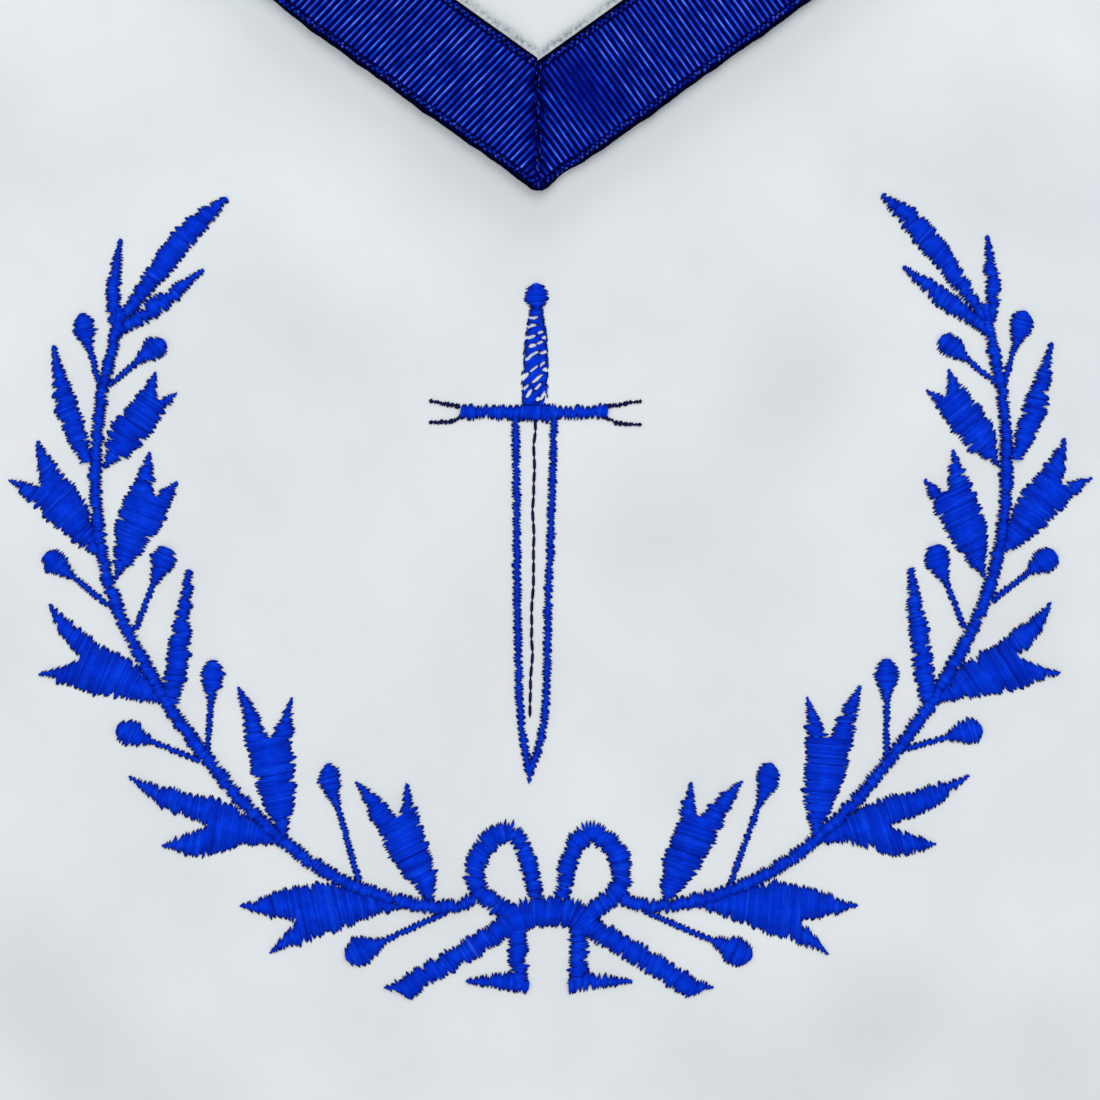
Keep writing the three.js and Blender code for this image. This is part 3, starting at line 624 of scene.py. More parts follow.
def leather_flap():
    bm = bmesh.new()
    flat_outline(bm)
    cut_lines(bm, (1, 0, 0), np.arange(-80, 81) * FLAP_STEP + 0.01)
    cut_lines(bm, (0, 1, 0), np.arange(FLAP_TIP + 1.0, TOP_EDGE - 1.0, FLAP_STEP))
    cut_lines(bm, (0, 1, 0), TOP_EDGE + np.arange(1, 14) * FOLD_STEP)
    cut_lines(bm, (0, 1, 0), TOP_EDGE + FOLD_LENGTH + np.arange(2, 14, 3))
    groove = FLAP_TIP * math.cos(FLAP_SLOPE) + RIBBON_WIDTH + np.arange(0.3, 4.0, 0.3)
    for side in (-1, 1):
        cut_lines(bm, (side * math.sin(-FLAP_SLOPE), math.cos(FLAP_SLOPE), 0), groove)
    places = np.array([vert.co for vert in bm.verts])
    heights = flap_rise(places[:, 0], places[:, 1])
    # The groove's painted shade and grit are stronger in some stretches than in others.
    worn = np.clip(wobble(places[:, 1] * 2, 3) * 0.2 + 0.8, 0, 1)
    grooves = groove_share(places[:, 0], places[:, 1]) * worn * (places[:, 1] < TOP_EDGE - 1)
    # Painted shade in broad patches, and a darker band beside the flap, kept on every point.
    darkened_shares = leather_darkening(places[:, 0], places[:, 1])
    groove_layer = bm.verts.layers.float.new("groove")
    darkening_layer = bm.verts.layers.float.new("darkening")
    for vert, height, share, darkening in zip(bm.verts, heights, grooves, darkened_shares):
        vert[groove_layer] = share
        vert[darkening_layer] = darkening
        vert.co = fold_over(vert.co.x, vert.co.y) or Vector((vert.co.x, vert.co.y, height))
    bmesh.ops.recalc_face_normals(bm, faces=bm.faces)
    mesh = mesh_from(bm, "leather_flap")
    piece = add_piece("leather_flap", mesh, white_leather, "flap")
    return thicken(piece, LEATHER, 0.0, CUT_EDGE_ROUND)


flap = leather_flap()
print("flap faces:", len(flap.data.polygons))

# %% [markdown]
# A run of ribbon starts as a flat grid with a few columns for each rib. Two numbers go with
# every point, the distance along the run and across it, and the mesh keeps them when the mitre
# is cut. The ribs, the smooth selvedges and the wavy edge are worked out from those numbers.
# A run is described by the point where its inner edge starts, and by two directions.

# %% Ribbed ribbon
RIB_PITCH = 1.2
RIB_HEIGHT = 0.24
RIBBON_BASE = 0.62
RIB_PROFILE = np.array([1.0, 0.44, 0.06, 0.0, 0.40])
SELVEDGE = 2.0
FLECK_PLACE = 1.2
FLECK_WIDTH = 0.4
FLECK_SHARE = 0.40
EDGE_DROP = 0.35
EDGE_WAVER = 0.20
FINE_WAVER = 0.07
RIB_DRIFT = 0.08
DRAWN_IN = 0.6
# Each row: where a stretch of the edge is drawn in, across and up, and its reach both ways.
DRAWN_PLACES = [(-57.0, 74.0, 13.0, 16.0), (4.8, 36.5, 3.4, 4.0)]
WORN_SHARE = 0.29
MOST_WORN = 0.75
HALF_SHARES = [0, 0.012, 0.03, 0.055, 0.077, 0.09, 0.104, 0.3]
ACROSS_SHARES = [*HALF_SHARES, 0.5, *[1 - share for share in HALF_SHARES[::-1]]]


def ribbon_grid(bm, start, along, outward, first, last, lean):
    """A flat grid in the run's own directions, with both distances kept on its points."""
    columns = round((last - first) / RIB_PITCH) * len(RIB_PROFILE)
    rows = len(ACROSS_SHARES) - 1
    run_layer = bm.verts.layers.float.new("run")
    side_layer = bm.verts.layers.float.new("side")
    bmesh.ops.create_grid(bm, x_segments=columns, y_segments=rows, size=1.0)
    shear = math.tan(math.radians(lean))
    for vert in bm.verts:
        column = round((vert.co.x + 1) / 2 * columns)
        row = round((vert.co.y + 1) / 2 * rows)
        run = first + column * RIB_PITCH / len(RIB_PROFILE)
        side = ACROSS_SHARES[row] * RIBBON_WIDTH
        vert[run_layer] = run
        vert[side_layer] = side
        leaning = run + shear * (side - RIBBON_WIDTH / 2)
        place = Vector(start) + Vector(along) * leaning + Vector(outward) * side
        vert.co = (place.x, place.y, 0.0)
    return run_layer, side_layer


def rib_share(run):
    """How high a point lies on its rib, from 0 in the valley to 1 on the top."""
    phase = np.mod(run / RIB_PITCH, 1.0) * len(RIB_PROFILE)
    low = np.floor(phase + 1e-6).astype(int) % len(RIB_PROFILE)
    part = np.clip(phase - np.floor(phase + 1e-6), 0, 1)
    high = (low + 1) % len(RIB_PROFILE)
    return RIB_PROFILE[low] * (1 - part) + RIB_PROFILE[high] * part


def drawn_in(x, y):
    """How far a ribbon's outer edge is drawn in: once on the flap's left, once beside its point."""
    shares = [bell(x - row[0], row[2]) * bell(y - row[1], row[3]) for row in DRAWN_PLACES]
    return DRAWN_IN * sum(shares)


def ribbon_run(name, start, along, outward, span, lean, cuts, base_height, pressed, replaced):
    """One straight run of ribbed ribbon. Cuts are planes, each with a point and a direction."""
    bm = bmesh.new()
    run_layer, side_layer = ribbon_grid(bm, start, along, outward, span[0], span[1], lean)
    for point, normal in cuts:
        parts = bm.verts[:] + bm.edges[:] + bm.faces[:]
        where = Vector((*point, 0.0))
        facing = Vector((*normal, 0.0))
        bmesh.ops.bisect_plane(bm, geom=parts, plane_co=where, plane_no=facing, clear_outer=True)
    run = np.array([vert[run_layer] for vert in bm.verts])
    side = np.array([vert[side_layer] for vert in bm.verts])
    places = np.array([vert.co for vert in bm.verts])
    x, y = places[:, 0], places[:, 1]
    edge = np.minimum(side, RIBBON_WIDTH - side)
    body = smooth_step((edge - 0.85 * SELVEDGE) / (0.3 * SELVEDGE))
    flat = pressed(x, y)
    worn = flat * (1 - smooth_step((flat - MOST_WORN) / (1 - MOST_WORN)))
    # The share is the height, and through the ribbon's ramp also the painted highlight and shade.
    share = (rib_share(run) * (1 - flat) + WORN_SHARE * worn) * body
    flecks = 0.5 + 0.5 * np.sin(run * 2 * math.pi / RIB_PITCH + 1.3 * wobble(run, 5))
    share = share + (1 - body) * FLECK_SHARE * bell(edge - FLECK_PLACE, FLECK_WIDTH) * flecks
    edge_drop = EDGE_DROP * bell(edge, EDGE_DROP)
    height = base_height(x, y) + RIBBON_BASE + RIB_HEIGHT * share - edge_drop
    waver = EDGE_WAVER * wobble(run, 1.0) + FINE_WAVER * wobble(run * 3.4, 8.0)
    waver = waver * (side / RIBBON_WIDTH) ** 2 * (1 - flat) - drawn_in(x, y) * side / RIBBON_WIDTH
    drift = RIB_DRIFT * wobble(run * 0.9 + side * 0.45, 11.0) * body
    for index, vert in enumerate(bm.verts):
        vert.co.x += outward[0] * waver[index] + along[0] * drift[index]
        vert.co.y += outward[1] * waver[index] + along[1] * drift[index]
        vert.co.z = height[index]
    bm.normal_update()
    if sum(face.normal.z for face in bm.faces) < 0:
        bmesh.ops.reverse_faces(bm, faces=bm.faces)
    uv_layer = bm.loops.layers.uv.new("strip")
    for face in bm.faces:
        for loop in face.loops:
            loop[uv_layer].uv = (loop.vert[run_layer], loop.vert[side_layer])
    mesh = mesh_from(bm, name)
    mesh.attributes.new("rib", "FLOAT", "POINT").data.foreach_set("value", share.astype(np.float32))
    piece = add_piece(name, mesh, blue_ribbon, replaced)
    return thicken(piece, RIBBON_BASE - 0.1, -1.0)


# %% [markdown]
# The flap's ribbon is two runs that meet in a mitre below the middle. The mitre's valley is
# pressed flat by its seam, and so is a worn patch on the right run.

# %% The flap's ribbon
INNER_CORNER = (0.0, FLAP_TIP + RIBBON_WIDTH / math.cos(FLAP_SLOPE), 0.0)
WORN_CENTRE = (8.8, 54.6)
WORN_HALF_SIZES = (7.6, 4.8)
WORN_ANGLE = -48
MITRE_X = -0.4
MITRE_VALLEY = 0.9
BLUNT_TIP = 0.72
BLUNT_SIDE = 0.55
LEFT_RIBS_LEAN = 8.0


def over_flap(x, y):
    return lay_height(x, y) + 2 * LEATHER + GAP


def flap_pressed(x, y):
    """How far the ribs are pressed flat: along the mitre and in the worn patch."""
    worn = 0.96 * MOST_WORN * np.exp(-out_of_oval(x, y, WORN_CENTRE, WORN_HALF_SIZES, WORN_ANGLE))
    return np.clip(worn + bell(x - MITRE_X - 0.25, MITRE_VALLEY), 0, 1)


def flap_ribbon(side):
    slope_x, slope_y = math.cos(FLAP_SLOPE), math.sin(FLAP_SLOPE)
    along = (side * slope_x, slope_y, 0.0)
    outward = (side * slope_y, -slope_x, 0.0)
    cuts = [
        ((MITRE_X, 0.0), (-side, 0.0)),
        ((0.0, TOP_EDGE - RIBBON_TOP_INSET), (0.0, 1.0)),
        ((side * (HALF_WIDTH - CORNER_CLIP), 0.0), (side, 0.0)),
        ((0.0, FLAP_TIP + BLUNT_TIP), (0.0, -1.0)),
        ((0.0, FLAP_TIP + BLUNT_SIDE), (0.36 * side, -1.0)),
    ]
    name = f"flap_ribbon_{side_name(side)}"
    lean = 0.0 if side > 0 else LEFT_RIBS_LEAN
    span = (-16.0 - RIB_PITCH, FLAP_DROP / slope_y - 2.0)
    args = (name, INNER_CORNER, along, outward, span, lean, cuts, over_flap, flap_pressed)
    return ribbon_run(*args, "flap_ribbon")


flap_runs = [flap_ribbon(-1), flap_ribbon(1)]
print("ribbon faces:", sum(len(run.data.polygons) for run in flap_runs))

# %% [markdown]
# The panel's border is the same ribbon in three runs, with mitres at the two lower corners.
# The side runs end against the flap's edge, which hides their ends.

# %% The panel's border ribbon
CORNER_VALLEY = 0.8


def over_panel(x, y):
    return lay_height(x, y) + LEATHER


def corners_pressed(x, y):
    """How far the border's ribs are pressed flat: only in the two mitres."""
    return bell(HALF_WIDTH - np.abs(x) - (y - BOTTOM_EDGE), CORNER_VALLEY)


def border_side(side):
    corner = (side * HALF_WIDTH, BOTTOM_EDGE)
    flap_normal = (-side * math.sin(FLAP_SLOPE), math.cos(FLAP_SLOPE))
    flap_edge = (0.0, FLAP_TIP - 1.5 * GAP / math.cos(FLAP_SLOPE))
    cuts = [(corner, (-side, -1.0)), (flap_edge, flap_normal)]
    start = (side * (HALF_WIDTH - RIBBON_WIDTH), BOTTOM_EDGE, 0.0)
    span = (0.0, TOP_EDGE - BOTTOM_EDGE)
    name = f"border_ribbon_{side_name(side)}"
    args = (name, start, (0.0, 1.0, 0.0), (side, 0.0, 0.0), span, 0.0, cuts, over_panel)
    return ribbon_run(*args, corners_pressed, "border_ribbon")


def border_bottom():
    left, right = (-HALF_WIDTH, BOTTOM_EDGE), (HALF_WIDTH, BOTTOM_EDGE)
    cuts = [(left, (-1.0, 1.0)), (right, (1.0, 1.0))]
    start = (-HALF_WIDTH, BOTTOM_EDGE + RIBBON_WIDTH, 0.0)
    span = (0.0, 2 * HALF_WIDTH)
    args = ("border_ribbon_bottom", start, (1.0, 0.0, 0.0), (0.0, -1.0, 0.0), span, 0.0, cuts)
    return ribbon_run(*args, over_panel, corners_pressed, "border_ribbon")


border_runs = [border_side(-1), border_side(1), border_bottom()]
print("border faces:", sum(len(run.data.polygons) for run in border_runs))

# %% [markdown]
# Satin stitch is the heart of this piece. Each stitch is one strand that comes up at one edge
# of a shape, crosses it over the padding and goes down at the other edge. There are thousands,
# so they are not made one by one: the list of stitches goes into arrays, and one small bent
# tube is repeated along all of them at once. The ends taper and dive into the leather.

# %% Strands from arrays
STATION_COUNT = 7
DIVE_ENDS = np.array([0.0, 0.32, 0.85])
STATION_SIZE = np.array([0.12, 0.46, 1.0, 1.0, 1.0, 0.46, 0.12])
# How much painted shade each ring gets, most at the ends where the strand dives into the leather.
STATION_END_SHADE = np.array([1.0, 0.90, 0.30, 0.0, 0.30, 0.90, 1.0])
STATION_DRAWN = np.array([1.0, 0.62, 0.12, 0.0, 0.12, 0.62, 1.0])
RING_SIDES = 5
PER_STRAND = STATION_COUNT * RING_SIDES
FLATNESS = 0.42
GROUND_CLEARANCE = 0.3
ARCH_POWER = 2.6
SHORTEST = 0.3
draw = np.random.default_rng(1717)


def strand_points(rows, base_height):
    """Places of every ring of every strand.

    A row is ax, ay, bx, by, lift, crown, width, and how far each of its tips is drawn sideways.
    """
    start = rows[:, None, 0:2]
    end = rows[:, None, 2:4]
    length = np.maximum(np.linalg.norm(rows[:, 2:4] - rows[:, 0:2], axis=1), SHORTEST)[:, None]
    near = np.minimum(DIVE_ENDS[None, :] / length, np.array([[0.0, 0.16, 0.38]]))
    stations = np.concatenate([near, np.full_like(length, 0.5), 1 - near[:, ::-1]], axis=1)
    centre = start + (end - start) * stations[..., None]
    arch = 1 - np.abs(2 * stations - 1) ** ARCH_POWER
    size = STATION_SIZE[None, :] * rows[:, None, 6] / 2
    ground = base_height(centre[..., 0], centre[..., 1])
    height = ground + GROUND_CLEARANCE * size + (rows[:, None, 4] + rows[:, None, 5]) * arch
    direction = (end - start) / length[..., None]
    sideways = np.concatenate([-direction[..., 1:2], direction[..., 0:1]], axis=-1)
    drawn = np.where(stations < 0.5, rows[:, None, 7], rows[:, None, 8]) * STATION_DRAWN
    centre = centre + sideways * drawn[..., None]
    turn = 2 * math.pi * (np.arange(RING_SIDES) + 0.25) / RING_SIDES
    lateral = size[..., None] * np.cos(turn)
    flat = centre[:, :, None, :] + sideways[:, :, None, :] * lateral[..., None]
    up = height[..., None] + FLATNESS * size[..., None] * np.sin(turn)
    return np.concatenate([flat, up[..., None]], axis=-1)


def strand_faces(count):
    """Quads round every strand, and a small face to close each end."""
    quads = []
    for station in range(STATION_COUNT - 1):
        for side in range(RING_SIDES):
            a = station * RING_SIDES + side
            b = station * RING_SIDES + (side + 1) % RING_SIDES
            quads.append((a, b, b + RING_SIDES, a + RING_SIDES))
    caps = [tuple(range(RING_SIDES))[::-1]]
    caps.append(tuple(range(PER_STRAND - RING_SIDES, PER_STRAND)))
    offsets = np.arange(count) * PER_STRAND
    quad_corners = (np.array(quads)[None] + offsets[:, None, None]).reshape(-1, 4)
    cap_corners = (np.array(caps)[None] + offsets[:, None, None]).reshape(-1, RING_SIDES)
    return quad_corners, cap_corners


def strand_mesh(name, rows, base_height, tone=0.5, spread=0.13, darkening=0.0):
    """One mesh of all the strands. Darkened ones are as dark all over as the others are at their ends,
    where shade is painted.
    """
    rows = np.array([[*row, 0.0, 0.0][:9] for row in rows])
    points = strand_points(rows, base_height)
    quads, caps = strand_faces(len(rows))
    corners = np.concatenate([quads.ravel(), caps.ravel()])
    totals = np.concatenate([np.full(len(quads), 4), np.full(len(caps), RING_SIDES)])
    starts = np.concatenate([[0], np.cumsum(totals)[:-1]])
    mesh = bpy.data.meshes.new(name)
    mesh.vertices.add(points.size // 3)
    mesh.vertices.foreach_set("co", (points.reshape(-1) * MM).astype(np.float32))
    mesh.loops.add(len(corners))
    mesh.loops.foreach_set("vertex_index", corners.astype(np.int32))
    mesh.polygons.add(len(totals))
    mesh.polygons.foreach_set("loop_start", starts.astype(np.int32))
    mesh.polygons.foreach_set("loop_total", totals.astype(np.int32))
    mesh.update(calc_edges=True)
    mesh.validate()
    mesh.shade_smooth()
    shade = np.repeat(np.clip(draw.normal(tone, spread, len(rows)), 0, 1), PER_STRAND)
    # Painted shade at the ends, and all over the darkened strands.
    tip = np.tile(np.repeat(STATION_END_SHADE, RING_SIDES), len(rows))
    tip = np.maximum(tip, np.repeat(draw.uniform(0, 1, len(rows)) * darkening, PER_STRAND))
    for label, values in (("shade", shade), ("tip", tip)):
        layer = mesh.attributes.new(label, "FLOAT", "POINT")
        layer.data.foreach_set("value", values.astype(np.float32))
    return mesh


def stitched_piece(name, rows, node=None, ground=over_panel, thread=blue_thread, **looks):
    """Stitches from a list of rows, as one piece that may stand in for a plain solid."""
    return add_piece(name, strand_mesh(name, rows, ground, **looks), thread, node)


print("faces in one strand:", len(strand_faces(1)[0]) + 2)

# %% [markdown]
# Two ways of laying stitches cover the whole emblem. A satin fill crosses an outline with
# parallel stitches, however wide it is and even if it has a fork. A satin column follows a
# line, such as a stem. Both let the ends run a little long or short, because a needle never
# lands exactly on the line, and that gives the edge its fine spikes.

# %% Satin fills and satin columns
STITCH_SPACING = 0.42
STITCH_WIDTH = 0.64
SHORT_STITCH = 4.2
HEADING_REACH = 0.6
OVERRUN = 0.19
CLUMP_SPREAD = 0.20
HELD_BACK_CHANCE = 0.15
HELD_BACK = (1.2, 2.4)
MISSED_CHANCE = 0.10
MISSED = (2.5, 5.5)
NEEDLE_WAVER = 0.05
GATHER = 0.55
MOST_GATHERED = 0.22
CROWN_SHARE = 0.16
LEAST_CROWN = 0.12
MOST_CROWN = 0.55


def smooth_line(points, per_span=8):
    """A smooth line through points, with the same curve as the measured model uses."""
    points = np.array(points, float)
    padded = np.vstack([points[:1], points, points[-1:]])
    places = []
    for index in range(len(points) - 1):
        a, b, c, d = padded[index : index + 4]
        for t in np.arange(per_span) / per_span:
            bend = (c - a) * t + (2 * a - 5 * b + 4 * c - d) * t**2
            places.append(b + 0.5 * (bend + (3 * b - a - 3 * c + d) * t**3))
    places.append(points[-1])
    return np.array(places)


def stitch_row(start, end, lift):
    """One stitch between two edge points."""
    length = math.hypot(end[0] - start[0], end[1] - start[1])
    if length < 0.25:
        return None
    crown = min(MOST_CROWN, LEAST_CROWN + CROWN_SHARE * length)
    width = STITCH_WIDTH * draw.uniform(0.9, 1.1)
    return [*start, *end, lift + draw.uniform(-0.02, 0.02), crown, width]


def fray(rows, spread):
    """Lets the ends run long or short, in clumps of one to three that draw together."""
    rows = np.array([row for row in rows if row is not None])
    frayed = []
    first = 0
    while first < len(rows):
        count = draw.integers(1, 4)
        clump = rows[first : first + count]
        first += count
        steps = clump[:, 2:4] - clump[:, 0:2]
        lengths = np.linalg.norm(steps, axis=1)[:, None]
        steady = min(1.0, float(lengths.mean()) / SHORT_STITCH)
        held_back = (draw.uniform(0, 1, 2) < HELD_BACK_CHANCE) * draw.uniform(*HELD_BACK, 2)
        reach = draw.normal(0, 1, 2) - held_back
        ends = (len(clump), 2)
        missed = (draw.uniform(0, 1, ends) < MISSED_CHANCE) * draw.uniform(*MISSED, ends)
        reach = OVERRUN + steady * spread * (reach - missed) + draw.normal(0, NEEDLE_WAVER, ends)
        sideways = np.stack([-steps[:, 1], steps[:, 0]], axis=1) / lengths
        gathered = []
        for end, sign in ((0, -1), (2, 1)):
            places = clump[:, end : end + 2]
            inward = ((places.mean(axis=0) - places) * sideways).sum(axis=1)
            gathered.append(np.clip(GATHER * inward, -MOST_GATHERED, MOST_GATHERED))
            clump[:, end : end + 2] = places + sign * reach[:, end // 2, None] * steps / lengths
        frayed += np.column_stack([clump, *gathered]).tolist()
    return frayed


def satin_fill(outline, direction_degrees, lift=0.1, spread=CLUMP_SPREAD):
    """Parallel stitches across an outline, spaced evenly."""
    angle = math.radians(direction_degrees)
    across = np.array([math.cos(angle), math.sin(angle)])
    along = np.array([-across[1], across[0]])
    outline = np.array(outline)
    nearness = outline @ along
    lobes = {}
    for level in np.arange(nearness.min() + 0.2, nearness.max() - 0.1, STITCH_SPACING):
        crossings = []
        for index in range(len(outline)):
            p, q = outline[index - 1], outline[index]
            a, b = nearness[index - 1] - level, nearness[index] - level
            if (a < 0) != (b < 0):
                crossings.append((p + (q - p) * (a / (a - b))) @ across)
        crossings.sort()
        for lobe, (low, high) in enumerate(zip(crossings[::2], crossings[1::2])):
            tilt = draw.normal(0, 0.07)
            start = across * low + along * (level - tilt)
            end = across * high + along * (level + tilt)
            lobes.setdefault(lobe, []).append(stitch_row(start, end, lift))
    return [row for rows in lobes.values() for row in fray(rows, spread)]


def satin_column(points, widths, lift=0.1, slant=0.12, spread=0.19):
    """Stitches across a line, with widths given evenly along it."""
    line = smooth_line(points)
    steps = np.linalg.norm(np.diff(line, axis=0), axis=1)
    distance = np.concatenate([[0], np.cumsum(steps)])
    places = np.arange(STITCH_SPACING / 2, distance[-1], STITCH_SPACING)
    rows = []
    for place in places:
        before, centre, after = (
            np.array([np.interp(place + step, distance, line[:, k]) for k in (0, 1)])
            for step in (-HEADING_REACH, 0.0, HEADING_REACH)
        )
        along = (after - before) / np.linalg.norm(after - before)
        across = np.array([-along[1], along[0]])
        width = np.interp(place / distance[-1], np.linspace(0, 1, len(widths)), widths)
        reach = across * width / 2 + along * slant * width / 2
        rows.append(stitch_row(centre - reach, centre + reach, lift))
    return fray(rows, spread)


# %% [markdown]
# The emblem's tables repeat the measured model's: places are shares of the wreath's half width
# and height, counted from its foot. One branch is described, and the other is its mirror
# image with a slight outward lean, as hand-guided embroidery has.

# %% The wreath's places
EMBLEM_X = 1.8
EMBLEM_FOOT = BOTTOM_EDGE + 50.4
WREATH_HALF_WIDTH = 108.0
WREATH_HEIGHT = 162.0
WREATH_LEAN = 2.4
WREATH_LIFT = 0.7
STEM = [
    (0.136, 0.120), (0.220, 0.112), (0.378, 0.142), (0.517, 0.207), (0.640, 0.300),
    (0.734, 0.393), (0.813, 0.504), (0.840, 0.616), (0.833, 0.728), (0.799, 0.833),
    (0.797, 0.853),
]
# Each row: root, tip, widest, place of the widest, width at root and at tip, and bend.
PLAIN_LEAVES = [
    ((0.798, 0.834), (0.597, 0.988), 0.048, 0.66, 0.40, 0.24, 0.0145),
    ((0.808, 0.833), (0.795, 0.938), 0.030, 0.45, 0.60, 0.20, 0.0046),
    ((0.803, 0.821), (0.641, 0.900), 0.037, 0.50, 0.60, 0.20, -0.0028),
    ((0.857, 0.662), (0.919, 0.806), 0.045, 0.47, 0.55, 0.15, 0.0075),
    ((0.703, 0.365), (0.666, 0.528), 0.041, 0.44, 0.90, 0.34, -0.0010),
]
# Each row: root, tip a, notch, tip b, the outer edges of a and b, and their fullness.
FORKED_LEAVES = [
    ((0.827, 0.653), (0.728, 0.776), (0.726, 0.740), (0.687, 0.749),
     [(0.767, 0.745), (0.815, 0.704)], [(0.719, 0.716), (0.765, 0.676)], 0.0, 0.0),
    ((0.825, 0.542), (0.949, 0.691), (0.943, 0.632), (1.003, 0.640),
     [(0.902, 0.649), (0.859, 0.610)], [(0.953, 0.603), (0.879, 0.560)], 0.006, 0.003),
    ((0.804, 0.515), (0.741, 0.677), (0.732, 0.621), (0.686, 0.639),
     [(0.780, 0.628), (0.808, 0.579)], [(0.712, 0.592), (0.750, 0.553)], 0.004, 0.002),
    ((0.706, 0.361), (0.929, 0.489), (0.869, 0.418), (0.951, 0.399),
     [(0.840, 0.441), (0.767, 0.412)], [(0.860, 0.377), (0.776, 0.367)], 0.012, 0.0),
    ((0.491, 0.188), (0.578, 0.386), (0.517, 0.319), (0.476, 0.371),
     [(0.567, 0.325), (0.539, 0.251)], [(0.475, 0.319), (0.471, 0.245)], 0.008, 0.003),
    ((0.489, 0.189), (0.783, 0.274), (0.632, 0.210), (0.720, 0.187),
     [(0.693, 0.257), (0.582, 0.236)], [(0.649, 0.172), (0.572, 0.186)], 0.016, 0.005),
    ((0.218, 0.113), (0.361, 0.268), (0.279, 0.222), (0.263, 0.268),
     [(0.333, 0.226), (0.280, 0.158)], [(0.238, 0.220), (0.207, 0.150)], 0.008, 0.001),
    ((0.262, 0.112), (0.577, 0.113), (0.467, 0.094), (0.520, 0.053),
     [(0.480, 0.135), (0.390, 0.141)], [(0.442, 0.069), (0.350, 0.092)], 0.006, 0.003),
]
# Each row: middle, half width and height, and the stalk's root on the left and right branch.
BERRIES = [
    ((0.862, 0.828), (0.022, 0.027), (0.832, 0.753), (0.832, 0.753)),
    ((0.731, 0.803), (0.025, 0.023), (0.817, 0.757), (0.817, 0.757)),
    ((0.916, 0.538), (0.025, 0.024), (0.817, 0.484), (0.817, 0.488)),
    ((0.715, 0.540), (0.025, 0.028), (0.767, 0.455), (0.767, 0.455)),
    ((0.624, 0.397), (0.023, 0.030), (0.634, 0.298), (0.626, 0.290)),
    ((0.778, 0.327), (0.026, 0.026), (0.647, 0.292), (0.655, 0.305)),
    ((0.406, 0.269), (0.022, 0.030), (0.352, 0.144), (0.338, 0.140)),
    ((0.349, 0.056), (0.030, 0.029), (0.187, 0.106), (0.176, 0.106)),
]


def wreath_place(pair, side):
    across, up = pair
    lean = WREATH_LEAN * up * up if side > 0 else 0.0
    lift = WREATH_LIFT * up if side > 0 else 0.0
    x = EMBLEM_X + side * (across * WREATH_HALF_WIDTH + lean)
    return np.array([x, EMBLEM_FOOT + up * WREATH_HEIGHT + lift])


def wreath_places(pairs, side):
    return [wreath_place(pair, side) for pair in pairs]


# %% [markdown]
# A leaf's stitches cross it at right angles to its length. So each leaf needs its outline and
# the direction from its root to its point, and the fill does the rest.

# %% Leaves and berries
STEM_WIDTH = 2.9
STALK_WIDTH = 1.3
PLAIN_LEAF_TURN = 96
FORKED_LEAF_TURN = 94


def heading(start, end):
    return math.degrees(math.atan2(end[1] - start[1], end[0] - start[0]))


def plain_leaf(side, root, tip, widest, bulge, root_width, tip_width, bend):
    start, end = wreath_places((root, tip), side)
    along = end - start
    out = np.array([-along[1], along[0]]) / np.linalg.norm(along)
    half = widest * WREATH_HALF_WIDTH / 2
    bend = -side * bend * WREATH_HALF_WIDTH * out
    left, right = [], []
    for share, width in ((0, root_width), (bulge, 1.0), (1, tip_width)):
        centre = start + along * share + bend * math.sin(math.pi * share)
        left.append(centre + out * half * width)
        right.append(centre - out * half * width)
    outline = np.vstack([smooth_line(right), smooth_line(left)[::-1]])
    return satin_fill(outline, heading(start, end) + PLAIN_LEAF_TURN)


def forked_leaf(side, root, tip_a, notch, tip_b, side_a, side_b, full_a, full_b):
    root, tip_a, notch, tip_b = wreath_places((root, tip_a, notch, tip_b), side)
    edge_a = smooth_line([root, *wreath_places(side_a[::-1], side), tip_a])
    edge_b = smooth_line([tip_b, *wreath_places(side_b, side), root])
    inner_a = fuller_edge(tip_a, notch, full_a * WREATH_HALF_WIDTH, tip_b)
    inner_b = fuller_edge(notch, tip_b, full_b * WREATH_HALF_WIDTH, tip_a)
    outline = np.vstack([edge_a, inner_a, inner_b, edge_b])
    return satin_fill(outline, heading(root, (tip_a + tip_b) / 2) + FORKED_LEAF_TURN)


def fuller_edge(start, end, fullness, toward):
    """The edge of a lobe beside the notch, swelling towards the other lobe."""
    along = (end - start) / np.linalg.norm(end - start)
    out = np.array([-along[1], along[0]])
    middle = (start + end) / 2
    out = out * math.copysign(1, float((toward - middle) @ out))
    return smooth_line([start, middle + out * fullness, end], 6)


def berry(side, middle, half_size, left_stalk, right_stalk):
    centre, root = wreath_places((middle, right_stalk if side > 0 else left_stalk), side)
    half_x, half_y = (share * WREATH_HALF_WIDTH for share in half_size)
    toward = (root - centre) / np.linalg.norm(root - centre)
    neck_angle = math.atan2(toward[1], toward[0])
    turns = neck_angle + np.radians(np.arange(38, 323, 15))
    outline = [centre + np.array([half_x * math.cos(t), half_y * math.sin(t)]) for t in turns]
    neck = centre + toward * 1.75 * max(half_x, half_y)
    sideways = np.array([-toward[1], toward[0]]) * STALK_WIDTH / 2
    outline += [neck - sideways, neck + sideways]
    rows = satin_fill(outline, math.degrees(neck_angle) + 90, lift=0.15, spread=0.12)
    return rows + satin_column([root, neck], [STALK_WIDTH] * 2, lift=0.05)


